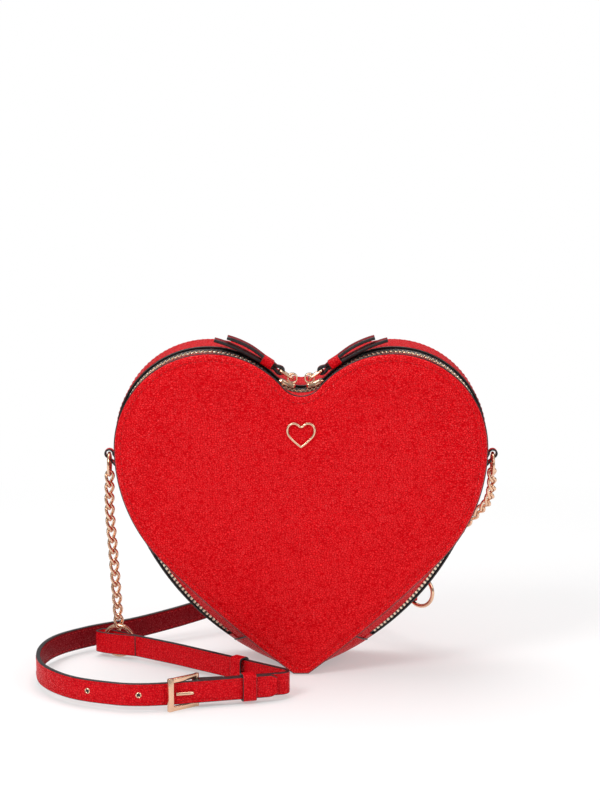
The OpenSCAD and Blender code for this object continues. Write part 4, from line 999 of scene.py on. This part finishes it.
p = resample([from_key(*q) for q in rounded(fold)], 0.5)
# The fold is slit for the prong: a narrow band under the slit and one over it.
u = (p - key) @ np.array([math.cos(rad(KEY_A)), math.sin(rad(KEY_A))])
slit = np.flatnonzero(u >= HINGE_U - 3.6)
first, last = slit[0], slit[-1]
SLIT_W = 4.0
h = (STRAP_W - SLIT_W) / 2
middle = p[first:last + 1]
for q, z, w in ((p[:first + 2], THIN_Z, THIN_W), (p[last - 1:], THIN_Z, THIN_W), (middle, THIN_Z, h),
                (middle, STRAP_Z + STRAP_W - h - 0.05, h)):
    parts.append(strap_band(q, LAY_T, z, w))
place(merge("short_strap_leather", parts), "strap", "strap_short")
lines = edge_lines(short_path[3:-3], STRAP_T, STRAP_Z, STRAP_W)
sew("short_strap_stitching", lines, STRAP_SEW, "strap")
seam_bead("left_loop_seam", from_local(left_c, LEFT_A, SEAM_U + 0.15, LAY_T * 1.5 + 0.07), STRAP_Z)

# Long strap: through the buckle, round on the floor, up behind the bag and round the right ring.
TIP_U, STRAIGHT_U = -12.0, 46.0
hold_v = (STRAP_WIRE + 2 * RUN_GAP) / 2 + LAY
right_z = right_c[2] - STRAP_W / 2
right_v = hold_v - LAY
BEND = ((-0.4, -0.4837), (-0.4791, -0.4721), (-0.5953, -0.4093), (-0.6791, -0.2884), (-0.7047, -0.1395),
        (-0.6791, 0), (-0.5953, 0.1116))
CLIMB = ((-0.4558, 0.1953, 0.067), (-0.2884, 0.2977, 0.278), (-0.1395, 0.4279, 0.509),
         (0.0186, 0.5023, 0.699), (0.1442, 0.4558, 0.825), (0.2, 0.3488, 0.93))
pts = [[*from_key(STRAIGHT_U, 0), STRAP_Z]]
pts += [[*of_width(x, y), STRAP_Z] for x, y in BEND]
pts += [[*of_width(x, y), STRAP_Z + (right_z - STRAP_Z) * f] for x, y, f in CLIMB]
pts += [[*from_local(right_c, RIGHT_A, u, right_v), right_z] for u in (SEAM_U - 12, SEAM_U)]
straight = [[*from_key(u, 0), STRAP_Z] for u in np.linspace(TIP_U, STRAIGHT_U, 30)[:-1]]
long_path = resample(np.concatenate([straight, smooth_path(pts, 12)]), 1.5)
band = strap_band(long_path, STRAP_T, 0, STRAP_W, lambda i: 1 - 0.28 * max(0, 1 - i / 3.0) ** 2, red_dark)
hold_in = 0.6 - math.sqrt((STRAP_RING_R - STRAP_WIRE / 2) ** 2 - (STRAP_W / 2) ** 2)
right_loop = [(SEAM_U - 0.5, -hold_v, 0), (hold_in + LAY, -hold_v, hold_v * 0.9),
              (hold_in + LAY, hold_v, hold_v * 0.9), (-STRAP_RING_R - STRAP_WIRE, hold_v, 6),
              (SEAM_U - 0.5, LAY_T - hold_v, 0)]
p = resample([from_local(right_c, RIGHT_A, u, -v) for u, v in rounded(right_loop)], 0.8)
place(merge("long_strap_leather", [band, strap_band(p, LAY_T, right_z, STRAP_W)]), "strap", "strap_long")
lines = edge_lines(long_path[3:-3], STRAP_T, 0, STRAP_W)
sew("long_strap_stitching", lines, STRAP_SEW, "strap")
seam_bead("right_loop_seam", from_local(right_c, RIGHT_A, SEAM_U + 0.2, right_v - LAY_T - 0.1), right_z)

# Eyelets along the outer bend: a domed rim, with a black plug in it as painted shade for the hole.
RIM_R, EYE_R, EYE_PITCH = 1.75, 0.95, 30
EYELET = ((EYE_R, -0.6), (EYE_R, 0.1), (EYE_R + 0.12, 0.3), ((RIM_R + EYE_R) / 2, 0.42), (RIM_R - 0.12, 0.26),
          (RIM_R, 0.02), (RIM_R, -0.2))
r = runs(long_path)
rims, holes = [], []
for i in (1, 2):
    s = HINGE_U + 3.4 - TIP_U + i * EYE_PITCH
    p = at(long_path, r, s)
    d = at(long_path, r, s + 1) - at(long_path, r, s - 1)
    n = unit(np.array([-d[1], d[0], 0]))
    n = n if p @ n > 0 else -n
    c = p + [0, 0, STRAP_W / 2] + n * STRAP_T / 2
    rims.append(revolve("rim", c, across(n), EYELET, 28, gold, wrap_s=False, sharp=80))
    # Painted shade: a black plug fills the eyelet and stands for its dark hole.
    holes.append(tube("hole", [c - n * 0.6, c - n * 0.3, c + n * 0.03], 0.98, edge, sides=16, up=(0, 0, 1)))
place(merge("eyelet_rims", rims), "strap", "eyelets")
place(merge("eyelet_holes", holes), "strap")

# ---- buckle
BAR, FRAME_T, FRAME_L = 3.2, 2.4, 21
FRAME_H = STRAP_W + STRAP_Z * 2
span = FRAME_L - BAR / 2 - PIN_R
rise_v = STRAP_T / 2 + RUN_GAP + FRAME_T / 2 + BAR * 0.2
tilt = math.asin((rise_v - hinge_v) / span)
rail = (FRAME_H - STRAP_W) / 2 - RUN_GAP


def buckle_pt(u, v, z):
    c, s = math.cos(tilt), math.sin(tilt)
    return [*from_key(HINGE_U + u * c - v * s, hinge_v + u * s + v * c), z]


def bevel_box(u0, u1, v, z0, z1, r=0.35):
    """Bar of the frame, from -v to v, with all of its edges rounded."""
    size = np.array([u1 - u0, 2 * v])
    sec = round_rect(*size, r, 3)
    low = ((z0, r), (z0 + r * 0.3, r * 0.3), (z0 + r, 0))
    high = ((z1 - r, 0), (z1 - r * 0.3, r * 0.3), (z1, r))
    rr = []
    for z, k in low + high:
        rr.append([buckle_pt(*([(u0 + u1) / 2, 0] + q * (1 - 2 * k / size * 0.9)), z) for q in sec])
    return loft("bar", rr, gold)


parts = [bevel_box(span - BAR / 2, span + BAR / 2, FRAME_T / 2, 0, FRAME_H)]
for z0, z1 in ((0.05, rail), (FRAME_H - rail, FRAME_H - 0.05)):
    parts.append(bevel_box(0.4, span + 0.3, FRAME_T / 2 - 0.15, z0, z1))
pin = [buckle_pt(0, 0, z) for z in (0.05, 0.4, FRAME_H / 2, FRAME_H - 0.4, FRAME_H - 0.05)]
parts.append(tube("pin", pin, PIN_R, gold, sides=20, up=(1, 0, 0)))
place(merge("buckle_frame_metal", parts), "buckle", "buckle_frame")

PRONG_W, PRONG_EYE_R = 2.0, 2.0
leg_v = STRAP_T / 2 + RUN_GAP / 2 + PRONG_W - hinge_v


def prong_pt(u, v):
    return [*from_key(HINGE_U + u, hinge_v + v), STRAP_Z + STRAP_W / 2]


leg = [prong_pt(u, v) for u, v in (
    (1.2, 1.9), (3.2, 2.4), (3.5, 4.0), (3.6, leg_v - 1.6), (4.6, leg_v - 0.95), (8.0, leg_v - 0.9),
    (10.6, leg_v - 0.85), (13.2, leg_v - 0.9))]
eye = [prong_pt(PRONG_EYE_R * math.cos(u), PRONG_EYE_R * math.sin(u)) for u in turn_steps(30)]
parts = [tube("leg", smooth_path(leg, 8), 0.98, gold, sides=14, up=(0, 0, 1)),
         tube("eye", eye, 0.62, gold, closed=True, up=(0, 0, 1), squash=1.6)]
place(merge("buckle_prong_metal", parts), "prong", "buckle_prong")

# ---- keepers
KEEP_W, KEEP_T, KEEP_GAP = 8.0, 1.2, 0.2


def keeper(name, origin, a, v0, v1, bulge=0.0):
    """Band of leather round the strap, its hollow from v0 to v1 across it."""
    z0, z1 = STRAP_Z - KEEP_GAP, STRAP_Z + STRAP_W + KEEP_GAP
    prof = round_rect(v1 - v0 + KEEP_T, z1 - z0 + KEEP_T, 1.5, 6)
    sec = round_rect(KEEP_W, KEEP_T, 0.3, 2)
    rings = swept_round(prof, sec) + [KEEP_W / 2, (v0 + v1) / 2, (z0 + z1) / 2]
    out = np.cos(math.pi * prof[:, 1] / (z1 - z0 + KEEP_T)) * np.where(prof[:, 0] < 0, -bulge, 0.25 * bulge)
    x, y = from_local(origin, a, rings[..., 0], rings[..., 1] + out[:, None])
    rings = np.stack([x, y, rings[..., 2]], -1)
    cut = cut_sides(sec, 0, KEEP_W / 2 - 0.25) | (sec[:, 1] < -KEEP_T * 0.3)
    return loft(name, rings, [red_fine, edge], wrap_p=True, section_mat=as_ints(cut), sharp=45)


half_t = STRAP_T / 2 + KEEP_GAP
ob = keeper("sliding_keeper_leather", key, KEY_A, under_v - half_t, half_t)
place(ob, "keeper", "sliding_keeper")
run_d = short_turn - bend
run_a = math.degrees(math.atan2(run_d[1], run_d[0]))
ob = keeper("fixed_keeper_leather", bend + run_d * 0.5, run_a, -STRAP_T * 1.5 - RUN_GAP, STRAP_T / 2, 0.5)
place(ob, "strap", "fixed_keeper")

# ---- stage, lights, camera
# White paper: it takes shadows near the bag and glows towards the camera further out.
FLOOR_Y, GLOW_R = 0.6, 0.62
bpy.ops.mesh.primitive_plane_add(size=6, location=(0, FLOOR_Y, 0))
floor = bpy.context.object
floor.name = "floor"
paper = bpy.data.materials.new("floor_paper")
m = Nodes(paper, "OutputMaterial")
white = m.new("BsdfDiffuse", {0: rgba(0.94)})
glow = m.new("Emission", {1: 1.0})
ray = m.new("LightPath").outputs
near = m.new("TexGradient", {0: m.coords((1 / GLOW_R, 1 / GLOW_R, 1), (0, FLOOR_Y / GLOW_R, 0))},
             gradient_type="SPHERICAL")
near = m.ramp(near.outputs[1], [(0.0, 1), (0.45, 0.35)])
seen = m.math("MAXIMUM", ray["Is Camera Ray"], ray["Is Glossy Ray"])
surface = m.new("MixShader", {0: m.math("MULTIPLY", near, seen), 1: white.outputs[0], 2: glow.outputs[0]})
m.feed(m.out, {0: surface.outputs[0]})
floor.data.materials.append(paper)

# The camera sees white; the pieces see a studio that is darker towards the floor.
world = bpy.data.worlds.new("studio")
bpy.context.scene.world = world
w = Nodes(world, "OutputWorld")
height = w.new("SeparateXYZ", {0: w.new("TexCoord").outputs["Generated"]}).outputs["Z"]
height = w.new("Math", {0: height, 1: 0.5, 2: 0.5}, operation="MULTIPLY_ADD").outputs[0]
room = w.new("Background", {0: w.ramp(height, [(0.40, (0.16, 0.15, 0.15)), (0.95, 1)]), 1: 0.6})
blank = w.new("Background", {0: rgba(1), 1: 1.0})
seen = w.new("LightPath").outputs["Is Camera Ray"]
w.feed(w.out, {0: w.new("MixShader", {0: seen, 1: room.outputs[0], 2: blank.outputs[0]}).outputs[0]})
AIM = Vector((0, 0, 0.1))
for nm, spot, size, watts in (("key_lamp", (-0.75, -1.05, 1.15), 0.55, 10.5),
                              ("fill_lamp", (1.0, -0.75, 0.8), 0.7, 3.6),
                              ("top_lamp", (-0.1, 0.35, 1.3), 0.9, 8.0)):
    light = bpy.data.lights.new(nm, "AREA")
    light.energy, light.size = watts, size
    ob = bpy.data.objects.new(nm, light)
    bpy.context.scene.collection.objects.link(ob)
    ob.location = spot
    ob.rotation_euler = (AIM - Vector(spot)).to_track_quat("-Z", "Y").to_euler()

# Camera as solved from the photograph.
cam = bpy.data.cameras.new("camera")
cam_ob = bpy.data.objects.new("camera", cam)
bpy.context.scene.collection.objects.link(cam_ob)
cam_ob.location = (0, -1.35, 0.361)
cam_ob.rotation_euler = (rad(90 - 8.57), 0, 0)
cam.lens, cam.sensor_width, cam.shift_x, cam.clip_start = 105.0, 36, -0.00125, 0.05
bpy.context.scene.camera = cam_ob
bpy.context.scene.view_settings.view_transform = "Standard"
